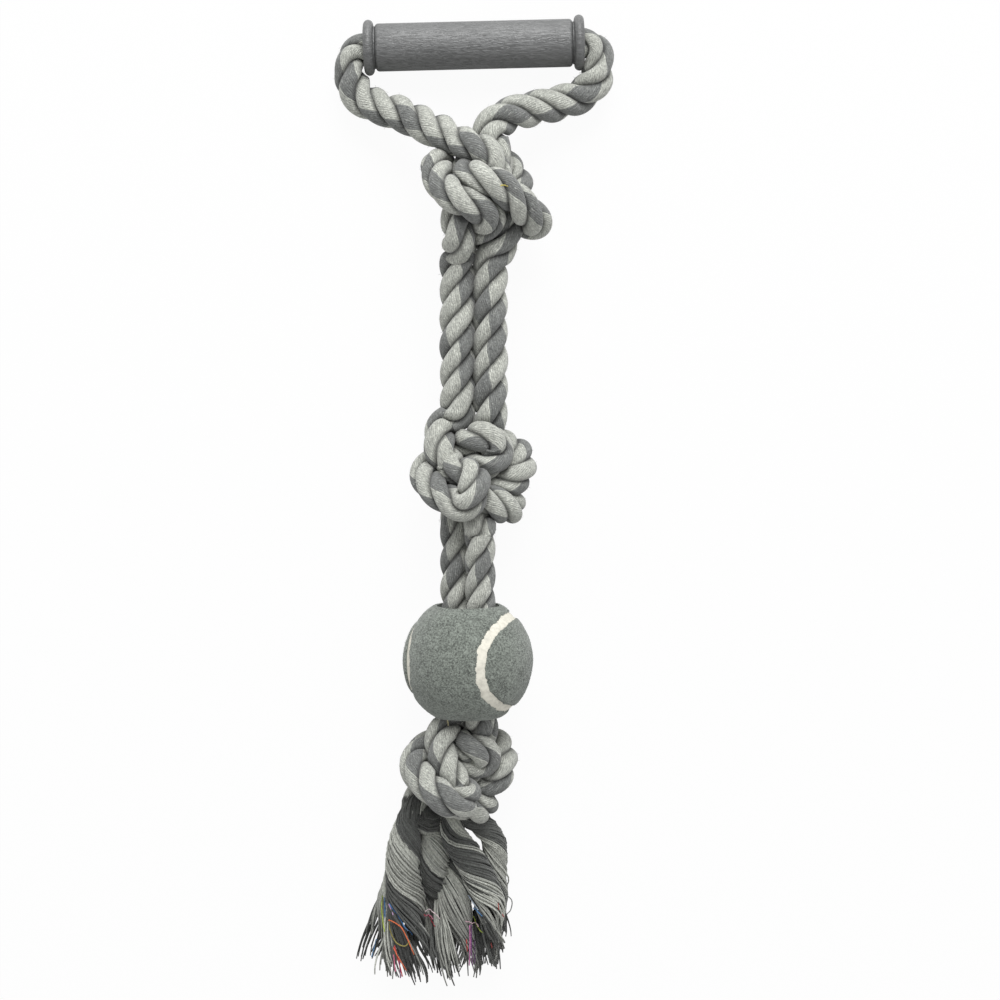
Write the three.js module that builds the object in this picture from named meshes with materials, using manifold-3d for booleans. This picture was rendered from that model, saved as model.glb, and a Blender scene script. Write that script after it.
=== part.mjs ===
// A tug toy for a dog: one thick cotton rope folded double, a moulded handgrip on its loop, three
// double overhand knots, a felt-covered ball between the lower two, and six loose strands at the end.
// Millimetres. X runs across the toy, Y from the loose ends to the grip, Z up from the floor it lies on.
import * as THREE from "three";
import { mergeVertices } from "three/addons/utils/BufferGeometryUtils.js";
import Module from "manifold-3d";

const wasm = await Module();
wasm.setup();

// Rope
const ropeDiameter = 17;            // lying free, over the crowns of its three strands
const pinchedRopeDiameter = 14.4;   // where it turns over the rim of the grip
const boredRopeDiameter = 15;       // drawn through the ball
const knotClearance = 0.8;          // left between ropes that press on each other in a knot
const seatClearance = 0.3;          // left between pieces that touch
const rimClearance = 0.9;           // kept by the knots' ropes off the sharp rim of the ball's hole
const heldLength = 9;               // past a knot, over which the rope stays as thin as in it
const taperLength = 17;             // over which it then gets back its full diameter

// Ball
const ballDiameter = 65;
const feltThickness = 2.2;
const shellWall = 3.6;
const ballBore = 32;
const seamWidth = 4.4;
const seamRecess = 0.5;             // the cement line lies a little under the felt
const seamTurn = -36 * Math.PI / 180;

// Grip
const gripLength = 110;
const gripBore = ropeDiameter + 2 * seatClearance;
const gripWall = 2.95;
const barrelDiameter = gripBore + 2 * gripWall;
const flangeRise = 1.95;            // of the flanges over the barrel
const flangeDiameter = barrelDiameter + 2 * flangeRise;
const flangeThickness = 5.5;
const flangeRound = 2.1;
const boreLeadIn = 0.8;
const grooveWidth = 1.1;
const grooveDepth = 1.3;
const barrelEndRound = 1.6;
const gripTilt = 1.4 * Math.PI / 180;
const rimTurnRadius = 7.7;          // of the rope's centreline where it leaves the grip

// Places along the toy, from the tips of the loose ends
const bottomKnotY = 113.5;
const ballFromBottomKnot = 52.5;
const middleKnotFromBall = 94;
const topKnotFromMiddleKnot = 136;
const gripFromTopKnot = 77;
const ballCentreY = bottomKnotY + ballFromBottomKnot;
const middleKnotY = ballCentreY + middleKnotFromBall;
const topKnotY = middleKnotY + topKnotFromMiddleKnot;
const gripCentreY = topKnotY + gripFromTopKnot;
const upperLegsHeight = 28;
const topKnotHeight = 29;
const middleKnotHeight = 26;
const bottomKnotHeight = 27;
const looseEndsHeight = 22;
const gripAxisHeight = flangeDiameter / 2;
const ballHeight = ballDiameter / 2;

// Places across the toy, from the middle of the grip
const upperLegsX = 0;
const lowerLegsX = -3;
const upperLegsGap = ropeDiameter + knotClearance;
const lowerLegsGap = boredRopeDiameter + knotClearance;
const lowerPairTurn = 40 * Math.PI / 180;
const topKnotX = 4.5;
const middleKnotX = 1;
const bottomKnotX = -7.5;
const loopPairX = -2.8;
const loopPairGap = 14.6;
const looseEndsX = -18;
const looseEndsGap = 24;

// Spacing of the ropes that touch in each knot
const topKnotSpacing = 13.8;
const middleKnotSpacing = 13.5;
const bottomKnotSpacing = 12.9;

const ballCentre = [lowerLegsX, ballCentreY, ballHeight];

// Each knot: the middle of its bulk, the spacing of touching ropes in it, its turn about the rope,
// which way up it is tied, how flat it is pressed along the rope, and where its two ropes enter above
// and leave below, led there from one distance and cut off as a piece at another, in rope spacings.
const knotShapes = {
  top: {
    at: [topKnotX, topKnotY, topKnotHeight],
    spacing: topKnotSpacing,
    pressedShare: 0.9,
    turn: 45 * Math.PI / 180,
    upsideDown: false,
    above: {
      x: loopPairX, z: topKnotHeight, gap: loopPairGap, angle: 0, fromShare: 1.8, cutShare: 1.95,
    },
    below: {
      x: upperLegsX, z: upperLegsHeight, gap: upperLegsGap, angle: 0, fromShare: 1.8, cutShare: 1.95,
    },
  },
  middle: {
    at: [middleKnotX, middleKnotY, middleKnotHeight],
    spacing: middleKnotSpacing,
    pressedShare: 0.85,
    turn: 205 * Math.PI / 180,
    upsideDown: true,
    above: {
      x: upperLegsX, z: upperLegsHeight, gap: upperLegsGap, angle: 0, fromShare: 1.8, cutShare: 1.95,
    },
    below: {
      x: lowerLegsX, z: ballHeight, gap: lowerLegsGap, angle: lowerPairTurn, fromShare: 1.6, cutShare: 2.35,
    },
  },
  bottom: {
    at: [bottomKnotX, bottomKnotY, bottomKnotHeight],
    spacing: bottomKnotSpacing,
    pressedShare: 0.72,
    turn: 225 * Math.PI / 180,
    upsideDown: true,
    above: {
      x: lowerLegsX, z: ballHeight, gap: lowerLegsGap, angle: lowerPairTurn, fromShare: 1.4, cutShare: 2.3,
    },
    below: {
      x: looseEndsX, z: looseEndsHeight, gap: looseEndsGap, angle: 0, fromShare: 1.7, cutShare: 2.4,
    },
  },
};

// How much of a knot's tails belongs to it before the straight legs begin, in rope spacings
const tailReachShare = 3;

// Tying: beads along each rope, one bead step apart, all in rope spacings
const beadsPerRope = 70;
const beadStepShare = 0.35;
const curveSamples = 600;
const looseCurveEndShare = 2.15;
const looseCurveShares = [0.8, 0.6, 0.8];
const looseGapShare = 1.05;
const sideBySideShare = 1.04;
const drawing = {
  steps: 2000,
  stiffShare: 0.08,
  pairShare: 0.2,
  pullShare: 0.006,
  squeezeShare: 0.003,
  neighbours: 5,
};
const settling = {
  steps: 500,
  stiffShare: 0.03,
  leadShare: 0.05,
  blendShare: 0.7,
  ballShare: 0.5,
  neighbours: 4,
};
const pushShare = 0.8;
const bulkShare = 1.15;             // beads farther than this from the axis are the knot's bulk
const nearbyBeads = 4;              // beads along the other rope that are looked at for the nearest
const leadInShare = 0.3;
const bulkHeightShare = 2.2;
const bulkEdgeShare = 0.5;
const squeezeStartShare = 0.25;
const tiny = 1e-9;
const gapSkipBeads = 5;

// The loop through the grip, from the top knot to the grip on each side, by the photograph.
// Each row is a place across, a height over the top knot along the toy, and a height over the table.
const leftArm = [
  [-17.5, 32.5, 28.5],
  [-26.5, 37, 23.5],
  [-37, 42.5, 19],
  [-47, 46, 15],
  [-55.5, 50, 13],
  [-61.1, 57.5, 13],
];
const rightArm = [
  [9, 35, 27],
  [17, 41, 24],
  [28, 44.5, 19.5],
  [40, 47.5, 15.5],
  [50, 50.5, 13],
  [57, 54.5, 13],
  [61.3, 60.5, 13],
];
const armTurnSteps = 5;
const insideGripShares = [0.95, 0.85, 0.5];
const straightShares = [0.08, 0.25, 0.5, 0.75, 0.92];
const lineStepsPerSpan = 8;

// The six loose strands: three from each rope end, spread by the photograph. Each row is a place on
// the strand's centreline, across, below the bottom knot and over the table, and its width there.
const strandDiameter = 5.8;
const strandRingRadius = 3.6;
const strandAngles = [150, 30, 270];
const looseStrands = [
  {
    rope: 0,
    seat: 0,
    way: [[-35.5, 41.5, 24.3, 10.6], [-36, 55.5, 23.5, 15], [-34, 73.5, 20, 17], [-32, 101.5, 15.5, 18]],
  },
  {
    rope: 0,
    seat: 1,
    way: [[-23.9, 39.5, 26, 6.6], [-21.5, 55.5, 22.5, 10], [-17.5, 71.5, 21, 9], [-16.5, 81.5, 21, 8]],
  },
  {
    rope: 1,
    seat: 0,
    way: [[-8.5, 39.5, 25, 7], [-3, 55.5, 24.5, 13], [6, 73.5, 23, 15], [13, 101.5, 19.5, 16]],
  },
  {
    rope: 1,
    seat: 1,
    way: [[2.7, 38.5, 19.5, 6.4], [10.5, 53.5, 13, 11], [14.5, 71.5, 8.5, 13], [19.5, 89.5, 7.6, 14]],
  },
  {
    rope: 1,
    seat: 2,
    way: [[-9, 39.5, 11, 6.4], [-11, 55.5, 8.5, 11], [-11, 77.5, 9, 15.5], [-11, 105.66, 9.3, 17.5]],
  },
  {
    rope: 0,
    seat: 2,
    way: [[-36, 39.5, 11, 6.8], [-42, 55.5, 8.5, 12], [-49, 75.5, 8.5, 15], [-52, 103.5, 8.6, 16]],
  },
];

// Ball: the felt seam is a closed curve on a unit ball
const seamCurve = { wide: 0.86, folded: 0.14 };
const seamGap = seatClearance;
const seamProbe = 1e-3;

// Fineness
const ropeSides = 8;
const ropeStep = 4.7;
const strandStep = 8;
const gripSides = 32;
const cupSides = 32;
const cupSteps = 8;
const panelRows = 26;
const panelColumns = 10;
const seamSteps = 72;
const mergeDistance = 1e-4;
const apartShare = 1.3;
const slidesLookedAt = [0, 10, 20, 24, 28, 32];

const add = (a, b, k = 1) => [a[0] + k * b[0], a[1] + k * b[1], a[2] + k * b[2]];
const minus = (a, b) => [a[0] - b[0], a[1] - b[1], a[2] - b[2]];
const dot = (a, b) => a[0] * b[0] + a[1] * b[1] + a[2] * b[2];
const cross = (a, b) => [a[1] * b[2] - a[2] * b[1], a[2] * b[0] - a[0] * b[2], a[0] * b[1] - a[1] * b[0]];
const times = (a, k) => [a[0] * k, a[1] * k, a[2] * k];
const size = (a) => Math.hypot(a[0], a[1], a[2]);
const unit = (a) => times(a, 1 / size(a));
const mix = (a, b, t) => a + (b - a) * t;
const clamp = (v, lo, hi) => Math.min(hi, Math.max(lo, v));
const ease = (t) => t * t * (3 - 2 * t);

function tangentsAlong(points) {
  const last = points.length - 1;
  return points.map((p, i) => unit(minus(points[Math.min(i + 1, last)], points[Math.max(i - 1, 0)])));
}

// A side direction carried along a line without twist.
function carriedSides(tangents, firstSide) {
  let side = firstSide;
  return tangents.map((t) => {
    side = unit(add(side, t, -dot(side, t)));
    return side;
  });
}

function lengthsAlong(points) {
  const lengths = [0];
  for (let i = 1; i < points.length; i += 1) {
    lengths.push(lengths[i - 1] + size(minus(points[i], points[i - 1])));
  }
  return lengths;
}

function evenPoints(points, count) {
  const lengths = lengthsAlong(points);
  const whole = lengths[lengths.length - 1];
  const even = [];
  let k = 0;
  for (let i = 0; i < count; i += 1) {
    const s = whole * i / (count - 1);
    while (k < lengths.length - 2 && lengths[k + 1] < s) k += 1;
    const t = clamp((s - lengths[k]) / (lengths[k + 1] - lengths[k]), 0, 1);
    even.push(add(points[k], minus(points[k + 1], points[k]), t));
  }
  return { even, whole };
}

// Two ropes side by side along a loosely thrown overhand knot, before it is drawn up.
function throwLooseKnot() {
  const [a, b, c] = looseCurveShares;
  const line = [];
  for (let i = 0; i < curveSamples; i += 1) {
    const t = mix(-looseCurveEndShare, looseCurveEndShare, i / (curveSamples - 1));
    line.push([a * (t ** 3 - 3 * t), b * (t ** 5 / 5 - 2 * t), c * (t ** 4 - 4 * t ** 2)]);
  }
  const sides = carriedSides(tangentsAlong(line), [1, 0, 0]);
  const pair = [-looseGapShare / 2, looseGapShare / 2].map((out) => {
    const beside = line.map((p, i) => add(p, sides[i], out));
    return evenPoints(beside, beadsPerRope);
  });
  const fit = (beadsPerRope - 1) * beadStepShare / pair[1].whole;
  return pair.flatMap(({ even }) => even.map((p) => times(p, fit)));
}

const ropeOf = (i) => (i < beadsPerRope ? 0 : 1);
const placeOn = (i) => i % beadsPerRope;
const beadCount = 2 * beadsPerRope;
const endBeads = [0, beadsPerRope - 1, beadsPerRope, beadCount - 1];

function straighten(beads, share) {
  const before = beads.map((p) => [...p]);
  for (let i = 0; i < beadCount; i += 1) {
    if (endBeads.includes(i)) continue;
    for (let k = 0; k < 3; k += 1) {
      beads[i][k] += share * ((before[i - 1][k] + before[i + 1][k]) / 2 - before[i][k]);
    }
  }
}

function keepLength(beads) {
  for (const parity of [0, 1]) {
    for (let i = 0; i < beadCount - 1; i += 1) {
      if (placeOn(i) === beadsPerRope - 1 || (i + ropeOf(i)) % 2 !== parity) continue;
      const step = minus(beads[i + 1], beads[i]);
      const long = size(step);
      const half = (long - beadStepShare) / (2 * long);
      beads[i] = add(beads[i], step, half);
      beads[i + 1] = add(beads[i + 1], step, -half);
    }
  }
}

// Beads nearer than one rope spacing push each other apart, except near neighbours on one rope.
function pushApart(beads, neighbours) {
  const push = beads.map(() => [0, 0, 0]);
  const touches = new Array(beadCount).fill(0);
  for (let i = 0; i < beadCount; i += 1) {
    const [xi, yi, zi] = beads[i];
    const first = i + 1;
    for (let j = first; j < beadCount; j += 1) {
      const dy = beads[j][1] - yi;
      if (dy > 1 || dy < -1) continue;
      if (ropeOf(i) === ropeOf(j) && j - i < neighbours) continue;
      const dx = beads[j][0] - xi;
      const dz = beads[j][2] - zi;
      const apart = Math.hypot(dx, dy, dz);
      if (apart >= 1) continue;
      const k = (1 - apart) / (2 * Math.max(apart, tiny));
      push[i] = add(push[i], [dx, dy, dz], -k);
      push[j] = add(push[j], [dx, dy, dz], k);
      touches[i] += 1;
      touches[j] += 1;
    }
  }
  for (let i = 0; i < beadCount; i += 1) {
    if (touches[i] > 0) beads[i] = add(beads[i], push[i], pushShare / Math.sqrt(touches[i]));
  }
}

// The two ropes lie side by side: each bead is drawn to the nearest one on the other rope.
function drawTogether(beads) {
  for (const [own, other] of [[0, beadsPerRope], [beadsPerRope, 0]]) {
    const moves = [];
    for (let i = 0; i < beadsPerRope; i += 1) {
      let best = Infinity;
      let mate = 0;
      for (let o = -nearbyBeads; o <= nearbyBeads; o += 1) {
        const j = clamp(i + o, 0, beadsPerRope - 1);
        const apart = size(minus(beads[other + j], beads[own + i]));
        if (apart < best) {
          best = apart;
          mate = j;
        }
      }
      const pull = drawing.pairShare * Math.max(best - sideBySideShare, 0) / (2 * Math.max(best, tiny));
      moves.push([mate, times(minus(beads[other + mate], beads[own + i]), pull)]);
    }
    moves.forEach(([, move], i) => {
      beads[own + i] = add(beads[own + i], move);
    });
    moves.forEach(([mate, move]) => {
      beads[other + mate] = add(beads[other + mate], move, -1);
    });
  }
}

const fromAxis = (p) => Math.hypot(p[0], p[2]);

// Draws the loose knot up by its four ends until the ropes bear on each other.
function drawUp(beads) {
  const held = [];
  for (const rope of [0, 1]) {
    for (const fromEnd of [0, 1, 2]) {
      held.push([rope * beadsPerRope + fromEnd, rope], [(rope + 1) * beadsPerRope - 1 - fromEnd, rope]);
    }
  }
  const start = held.map(([i]) => [...beads[i]]);
  for (let step = 0; step < drawing.steps; step += 1) {
    const u = ease(Math.min(1, step / (leadInShare * drawing.steps)));
    const hold = () => held.forEach(([i, rope], n) => {
      beads[i][0] = mix(start[n][0], (rope - 0.5) * sideBySideShare, u);
      beads[i][2] = mix(start[n][2], 0, u);
    });
    straighten(beads, drawing.stiffShare);
    drawTogether(beads);
    endBeads.forEach((i, n) => {
      beads[i][1] += n % 2 === 0 ? -drawing.pullShare : drawing.pullShare;
    });
    if (step > squeezeStartShare * drawing.steps) {
      const out = beads.filter((p) => fromAxis(p) > bulkShare);
      const middle = out.reduce((sum, p) => sum + p[1], 0) / Math.max(out.length, 1);
      beads.filter((p) => fromAxis(p) > 1).forEach((p) => {
        p[1] -= drawing.squeezeShare * clamp(p[1] - middle, -1, 1);
      });
    }
    for (let n = 0; n < 4; n += 1) {
      keepLength(beads);
      hold();
    }
    pushApart(beads, drawing.neighbours);
    hold();
  }
  return beads.map(([x, y, z]) => [-x, y, z]);
}

// Turns a drawn knot to its place on the toy and lets it settle there, with its tails led to the legs.
function settle(drawn, shape) {
  let ropes = [drawn.slice(0, beadsPerRope), drawn.slice(beadsPerRope)];
  if (shape.upsideDown) {
    ropes = ropes.map((rope) => rope.map(([x, y, z]) => [-x, -y, z]).reverse());
  }
  const c = Math.cos(shape.turn);
  const s = Math.sin(shape.turn);
  const beads = ropes.flat().map(([x, y, z]) => [c * x + s * z, y, -s * x + c * z]);
  const out = beads.filter((p) => fromAxis(p) > bulkShare);
  const low = [0, 1, 2].map((k) => Math.min(...out.map((p) => p[k])));
  const high = [0, 1, 2].map((k) => Math.max(...out.map((p) => p[k])));
  const floor = (ropeInKnot(shape) / 2 - shape.at[2]) / shape.spacing;
  beads.forEach((p, i) => {
    const [x, y, z] = p.map((v, k) => v - (low[k] + high[k]) / 2);
    const inside = clamp(y, -bulkHeightShare, bulkHeightShare);
    const inBulk = clamp((bulkHeightShare - Math.abs(y)) / bulkEdgeShare, 0, 1);
    const wide = mix(1, 1 / Math.sqrt(shape.pressedShare), inBulk);
    beads[i] = [x * wide, y - (1 - shape.pressedShare) * inside, z * wide];
  });
  const endAngle = (i, wanted) => {
    const across = minus(beads[beadsPerRope + i], beads[i]);
    const now = Math.atan2(across[2], across[0]);
    return wanted + Math.round((now - wanted) / Math.PI) * Math.PI;
  };
  const angles = [endAngle(0, shape.below.angle), endAngle(beadsPerRope - 1, shape.above.angle)];
  const goals = beads.map((p, i) => {
    const upper = placeOn(i) < beadsPerRope / 2 ? 0 : 1;
    const pair = upper ? shape.above : shape.below;
    const half = (ropeOf(i) - 0.5) * pair.gap / shape.spacing;
    const x = (pair.x - shape.at[0]) / shape.spacing + half * Math.cos(angles[upper]);
    const z = (pair.z - shape.at[2]) / shape.spacing + half * Math.sin(angles[upper]);
    return { side: upper ? 1 : -1, x, z, from: pair.fromShare };
  });
  for (let step = 0; step < settling.steps; step += 1) {
    straighten(beads, settling.stiffShare);
    const led = settling.leadShare * Math.min(1, step / (leadInShare * settling.steps));
    beads.forEach((p, i) => {
      const { side, x, z, from } = goals[i];
      const share = led * clamp((side * p[1] - from) / settling.blendShare, 0, 1);
      p[0] += share * (x - p[0]);
      p[2] += share * (z - p[2]);
    });
    for (let n = 0; n < 2; n += 1) keepLength(beads);
    for (let n = 0; n < 2; n += 1) {
      pushApart(beads, settling.neighbours);
      beads.forEach((p, i) => {
        p[2] = Math.max(p[2], floor);
        if (step > settling.ballShare * settling.steps) beads[i] = keepOffBall(p, shape);
      });
    }
  }
  const placed = beads.map((p) => add(shape.at, p, shape.spacing));
  const pair = [placed.slice(0, beadsPerRope), placed.slice(beadsPerRope)];
  return pair[0][beadsPerRope - 1][0] < pair[1][beadsPerRope - 1][0] ? pair : pair.reverse();
}

// The way to a point from the nearest place of the ball, across its axis and along it: the wall of
// its hole inside it, the sharp rim of the hole above and below, and elsewhere the round.
function fromBall(p, centre) {
  const from = minus(p, centre);
  const bore = ballBore / 2;
  const rim = Math.sqrt((ballDiameter / 2) ** 2 - bore ** 2);
  const rho = Math.hypot(from[0], from[2]);
  const height = Math.abs(from[1]);
  if (height < rim && rho < bore) return { from, rho, off: [rho - bore, 0] };
  if (Math.atan2(rho, height) < Math.atan2(bore, rim)) return { from, rho, off: [rho - bore, height - rim] };
  const outside = 1 - ballDiameter / (2 * size(from));
  return { from, rho, off: [rho * outside, height * outside] };
}

// Moves a bead off the ball if the rope would touch it there.
function keepOffBall(p, shape) {
  const { from, rho, off } = fromBall(add(shape.at, p, shape.spacing), ballCentre);
  const apart = Math.hypot(off[0], off[1]);
  const radius = ropeInKnot(shape) / 2 + rimClearance;
  if (apart >= radius) return p;
  const push = (radius - apart) / (Math.max(apart, tiny) * shape.spacing);
  const aside = off[0] * push / Math.max(rho, tiny);
  return [p[0] + from[0] * aside, p[1] + Math.sign(from[1]) * off[1] * push, p[2] + from[2] * aside];
}

function ropeInKnot(shape) {
  return shape.spacing - knotClearance;
}

// The least distance between two rope surfaces in a knot, and of each rope to itself.
function leastGap(pair, shape) {
  const [a, b] = pair;
  let least = Infinity;
  a.forEach((p) => b.forEach((q) => {
    least = Math.min(least, size(minus(p, q)));
  }));
  for (const rope of pair) {
    rope.forEach((p, i) => rope.slice(i + gapSkipBeads).forEach((q) => {
      least = Math.min(least, size(minus(p, q)));
    }));
  }
  return least - ropeInKnot(shape);
}

// A smooth line through hand-placed points and beads: centripetal Catmull-Rom, so that it never loops
// where close points follow far ones.
function smoothLine(points) {
  const last = points.length - 1;
  const line = [];
  for (let i = 0; i < last; i += 1) {
    const b = points[i];
    const c = points[i + 1];
    const a = i > 0 ? points[i - 1] : add(b, minus(c, b), -1);
    const d = i + 1 < last ? points[i + 2] : add(c, minus(c, b));
    const t1 = Math.sqrt(size(minus(b, a)));
    const t2 = t1 + Math.sqrt(size(minus(c, b)));
    const t3 = t2 + Math.sqrt(size(minus(d, c)));
    const between = (p, q, from, to, t) => add(p, minus(q, p), (t - from) / (to - from));
    for (let n = 0; n < lineStepsPerSpan; n += 1) {
      const t = mix(t1, t2, n / lineStepsPerSpan);
      const ab = between(a, b, 0, t1, t);
      const bc = between(b, c, t1, t2, t);
      const cd = between(c, d, t2, t3, t);
      line.push(between(between(ab, bc, 0, t2, t), between(bc, cd, t1, t3, t), t1, t2, t));
    }
  }
  line.push(points[last]);
  return line;
}

// Cuts the beads of one rope in a knot at the planes where the next pieces of rope begin.
function cutKnot(rope, shape) {
  const below = shape.at[1] - shape.below.cutShare * shape.spacing;
  const above = shape.at[1] + shape.above.cutShare * shape.spacing;
  const first = rope.findIndex((p) => p[1] > below);
  const last = rope.length - 1 - [...rope].reverse().findIndex((p) => p[1] < above);
  const far = tailReachShare * shape.spacing;
  const tailBelow = rope.slice(0, first).filter((p) => p[1] > shape.at[1] - far);
  const tailAbove = rope.slice(last + 1).filter((p) => p[1] < shape.at[1] + far);
  return { knot: rope.slice(first, last + 1), tailBelow, tailAbove };
}

// A closed tube round a line: rings square to it, radius given along its length, and flat ends, square
// to the line or to the directions given for them.
function tube(line, radiusAt, sides, step, ends = []) {
  const lengths = lengthsAlong(line);
  const whole = lengths[lengths.length - 1];
  const count = Math.max(3, Math.round(whole / step) + 1);
  const { even } = evenPoints(line, count);
  const tangents = tangentsAlong(even);
  tangents[0] = ends[0] ?? tangents[0];
  tangents[count - 1] = ends[1] ?? tangents[count - 1];
  const across = carriedSides(tangents, [0, 0, 1]);
  const positions = [...even[0], ...even[count - 1]];
  const index = [];
  for (let i = 0; i < count; i += 1) {
    const up = cross(tangents[i], across[i]);
    const r = radiusAt(whole * i / (count - 1), whole);
    for (let k = 0; k < sides; k += 1) {
      const angle = 2 * Math.PI * k / sides;
      positions.push(...add(add(even[i], across[i], r * Math.cos(angle)), up, r * Math.sin(angle)));
    }
  }
  const at = (i, k) => 2 + i * sides + (k % sides);
  for (let k = 0; k < sides; k += 1) {
    index.push(0, at(0, k + 1), at(0, k), 1, at(count - 1, k), at(count - 1, k + 1));
    for (let i = 0; i < count - 1; i += 1) {
      index.push(at(i, k), at(i, k + 1), at(i + 1, k), at(i, k + 1), at(i + 1, k + 1), at(i + 1, k));
    }
  }
  return solid(positions, index);
}

function solid(positions, index) {
  const geometry = new THREE.BufferGeometry();
  geometry.setAttribute("position", new THREE.Float32BufferAttribute(positions, 3));
  geometry.setIndex(index);
  return outward(geometry);
}

// Turns the triangles of a closed body round if they face into it.
function outward(geometry) {
  const place = geometry.getAttribute("position");
  const index = geometry.getIndex();
  const corner = (i) => [place.getX(index.getX(i)), place.getY(index.getX(i)), place.getZ(index.getX(i))];
  let volume = 0;
  for (let i = 0; i < index.count; i += 3) volume += dot(corner(i), cross(corner(i + 1), corner(i + 2)));
  for (let i = 0; volume < 0 && i < index.count; i += 3) {
    const first = index.getX(i);
    index.setX(i, index.getX(i + 1));
    index.setX(i + 1, first);
  }
  geometry.computeVertexNormals();
  return geometry;
}

// A turned body about the Y axis from a profile of radius and height that closes on itself.
function turned(profile, sides) {
  const points = profile.map(([r, y]) => new THREE.Vector2(r, y));
  return outward(new THREE.LatheGeometry([...points, points[0].clone()], sides));
}

function arc(radius, from, to, steps, centre = [0, 0]) {
  const points = [];
  for (let i = 0; i <= steps; i += 1) {
    const angle = mix(from, to, i / steps);
    points.push([centre[0] + radius * Math.cos(angle), centre[1] + radius * Math.sin(angle)]);
  }
  return points;
}

const quarter = Math.PI / 2;

// The grip: a straight barrel between two rounded flanges with a shallow groove beside each.
function gripGeometry() {
  const half = gripLength / 2;
  const inner = gripBore / 2;
  const barrel = barrelDiameter / 2;
  const flange = flangeDiameter / 2;
  const flangeFoot = half - flangeThickness;
  const barrelEnd = flangeFoot - grooveWidth;
  const round = flangeRound;
  const end = [
    ...arc(barrelEndRound, 0, quarter, 2, [barrel - barrelEndRound, barrelEnd - barrelEndRound]),
    [barrel - grooveDepth, barrelEnd],
    [barrel - grooveDepth, flangeFoot],
    ...arc(round, -quarter, 0, 3, [flange - round, flangeFoot + round]),
    ...arc(round, 0, quarter, 3, [flange - round, half - round]),
    ...arc(boreLeadIn, quarter, 2 * quarter, 2, [inner + boreLeadIn, half - boreLeadIn]),
  ];
  const other = end.map(([r, y]) => [r, -y]).reverse();
  const geometry = turned([...other, ...end], gripSides);
  geometry.rotateZ(gripTilt - quarter);
  geometry.translate(0, gripCentreY, gripAxisHeight);
  return geometry;
}

// One half of the ball's rubber core, moulded with a hole for the rope.
function cupGeometry(hand) {
  const outer = ballDiameter / 2 - feltThickness - seatClearance;
  const inner = outer - shellWall;
  const hole = ballBore / 2;
  const profile = [
    ...arc(outer, seatClearance / (2 * outer), Math.acos(hole / outer), cupSteps),
    ...arc(inner, Math.acos(hole / inner), seatClearance / (2 * inner), cupSteps),
  ];
  const geometry = turned(profile, cupSides);
  if (hand < 0) geometry.rotateX(Math.PI);
  return geometry;
}

// The seam of a felt ball, turned so that the rope's hole falls in the middle of two felt lobes.
function onSeam(t) {
  const { wide, folded } = seamCurve;
  const x = wide * Math.cos(t) + folded * Math.cos(3 * t);
  const y = wide * Math.sin(t) - folded * Math.sin(3 * t);
  const z = 2 * Math.sqrt(wide * folded) * Math.sin(2 * t);
  const along = (y - x) / Math.SQRT2;
  const aside = (x + y) / Math.SQRT2;
  const c = Math.cos(seamTurn);
  const s = Math.sin(seamTurn);
  return unit([aside * c + z * s, along, -aside * s + z * c]);
}

// A point beside the seam, a given width away over the ball; positive is to the left along the curve.
function besideSeam(t, width) {
  const here = onSeam(t);
  const ahead = minus(onSeam(t + seamProbe), onSeam(t - seamProbe));
  return unit(add(here, unit(cross(here, ahead)), Math.tan(2 * width / ballDiameter)));
}

function slerp(a, b, t) {
  const angle = Math.acos(clamp(dot(a, b), -1, 1));
  if (angle < tiny) return a;
  const whole = Math.sin(angle);
  return add(times(a, Math.sin((1 - t) * angle) / whole), b, Math.sin(t * angle) / whole);
}

// One dumb-bell of felt: rows across it from seam to seam, closed at the two rounded ends.
function panelGeometry(from, width) {
  const radii = [ballDiameter / 2, ballDiameter / 2 - feltThickness];
  const positions = [];
  const index = [];
  const rows = [];
  for (let j = 0; j <= panelRows; j += 1) {
    const s = Math.PI * j / panelRows;
    const a = besideSeam(from + s, width);
    const b = besideSeam(from - s, width);
    const columns = j === 0 || j === panelRows ? 0 : panelColumns;
    const row = [];
    for (let k = 0; k <= columns; k += 1) row.push(columns === 0 ? a : slerp(a, b, k / columns));
    rows.push(row);
  }
  const starts = radii.map((r) => rows.map((row) => {
    const start = positions.length / 3;
    row.forEach((p) => positions.push(...times(p, r)));
    return start;
  }));
  const at = (layer, j, k) => starts[layer][j] + (rows[j].length === 1 ? 0 : k);
  const face = (layer, a, b, c) => (layer === 0 ? index.push(a, b, c) : index.push(a, c, b));
  for (let j = 0; j < panelRows; j += 1) {
    for (let k = 0; k < panelColumns; k += 1) {
      for (const layer of [0, 1]) {
        if (j > 0) face(layer, at(layer, j, k), at(layer, j, k + 1), at(layer, j + 1, k));
        const m = j + 1;
        if (m < panelRows) face(layer, at(layer, j, k + 1), at(layer, m, k + 1), at(layer, m, k));
      }
    }
  }
  for (const [k, flip] of [[0, false], [panelColumns, true]]) {
    for (let j = 0; j < panelRows; j += 1) {
      const quad = [at(0, j, k), at(0, j + 1, k), at(1, j + 1, k), at(1, j, k)];
      if (flip) quad.reverse();
      index.push(quad[0], quad[1], quad[2], quad[0], quad[2], quad[3]);
    }
  }
  return solid(positions, index);
}

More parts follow.
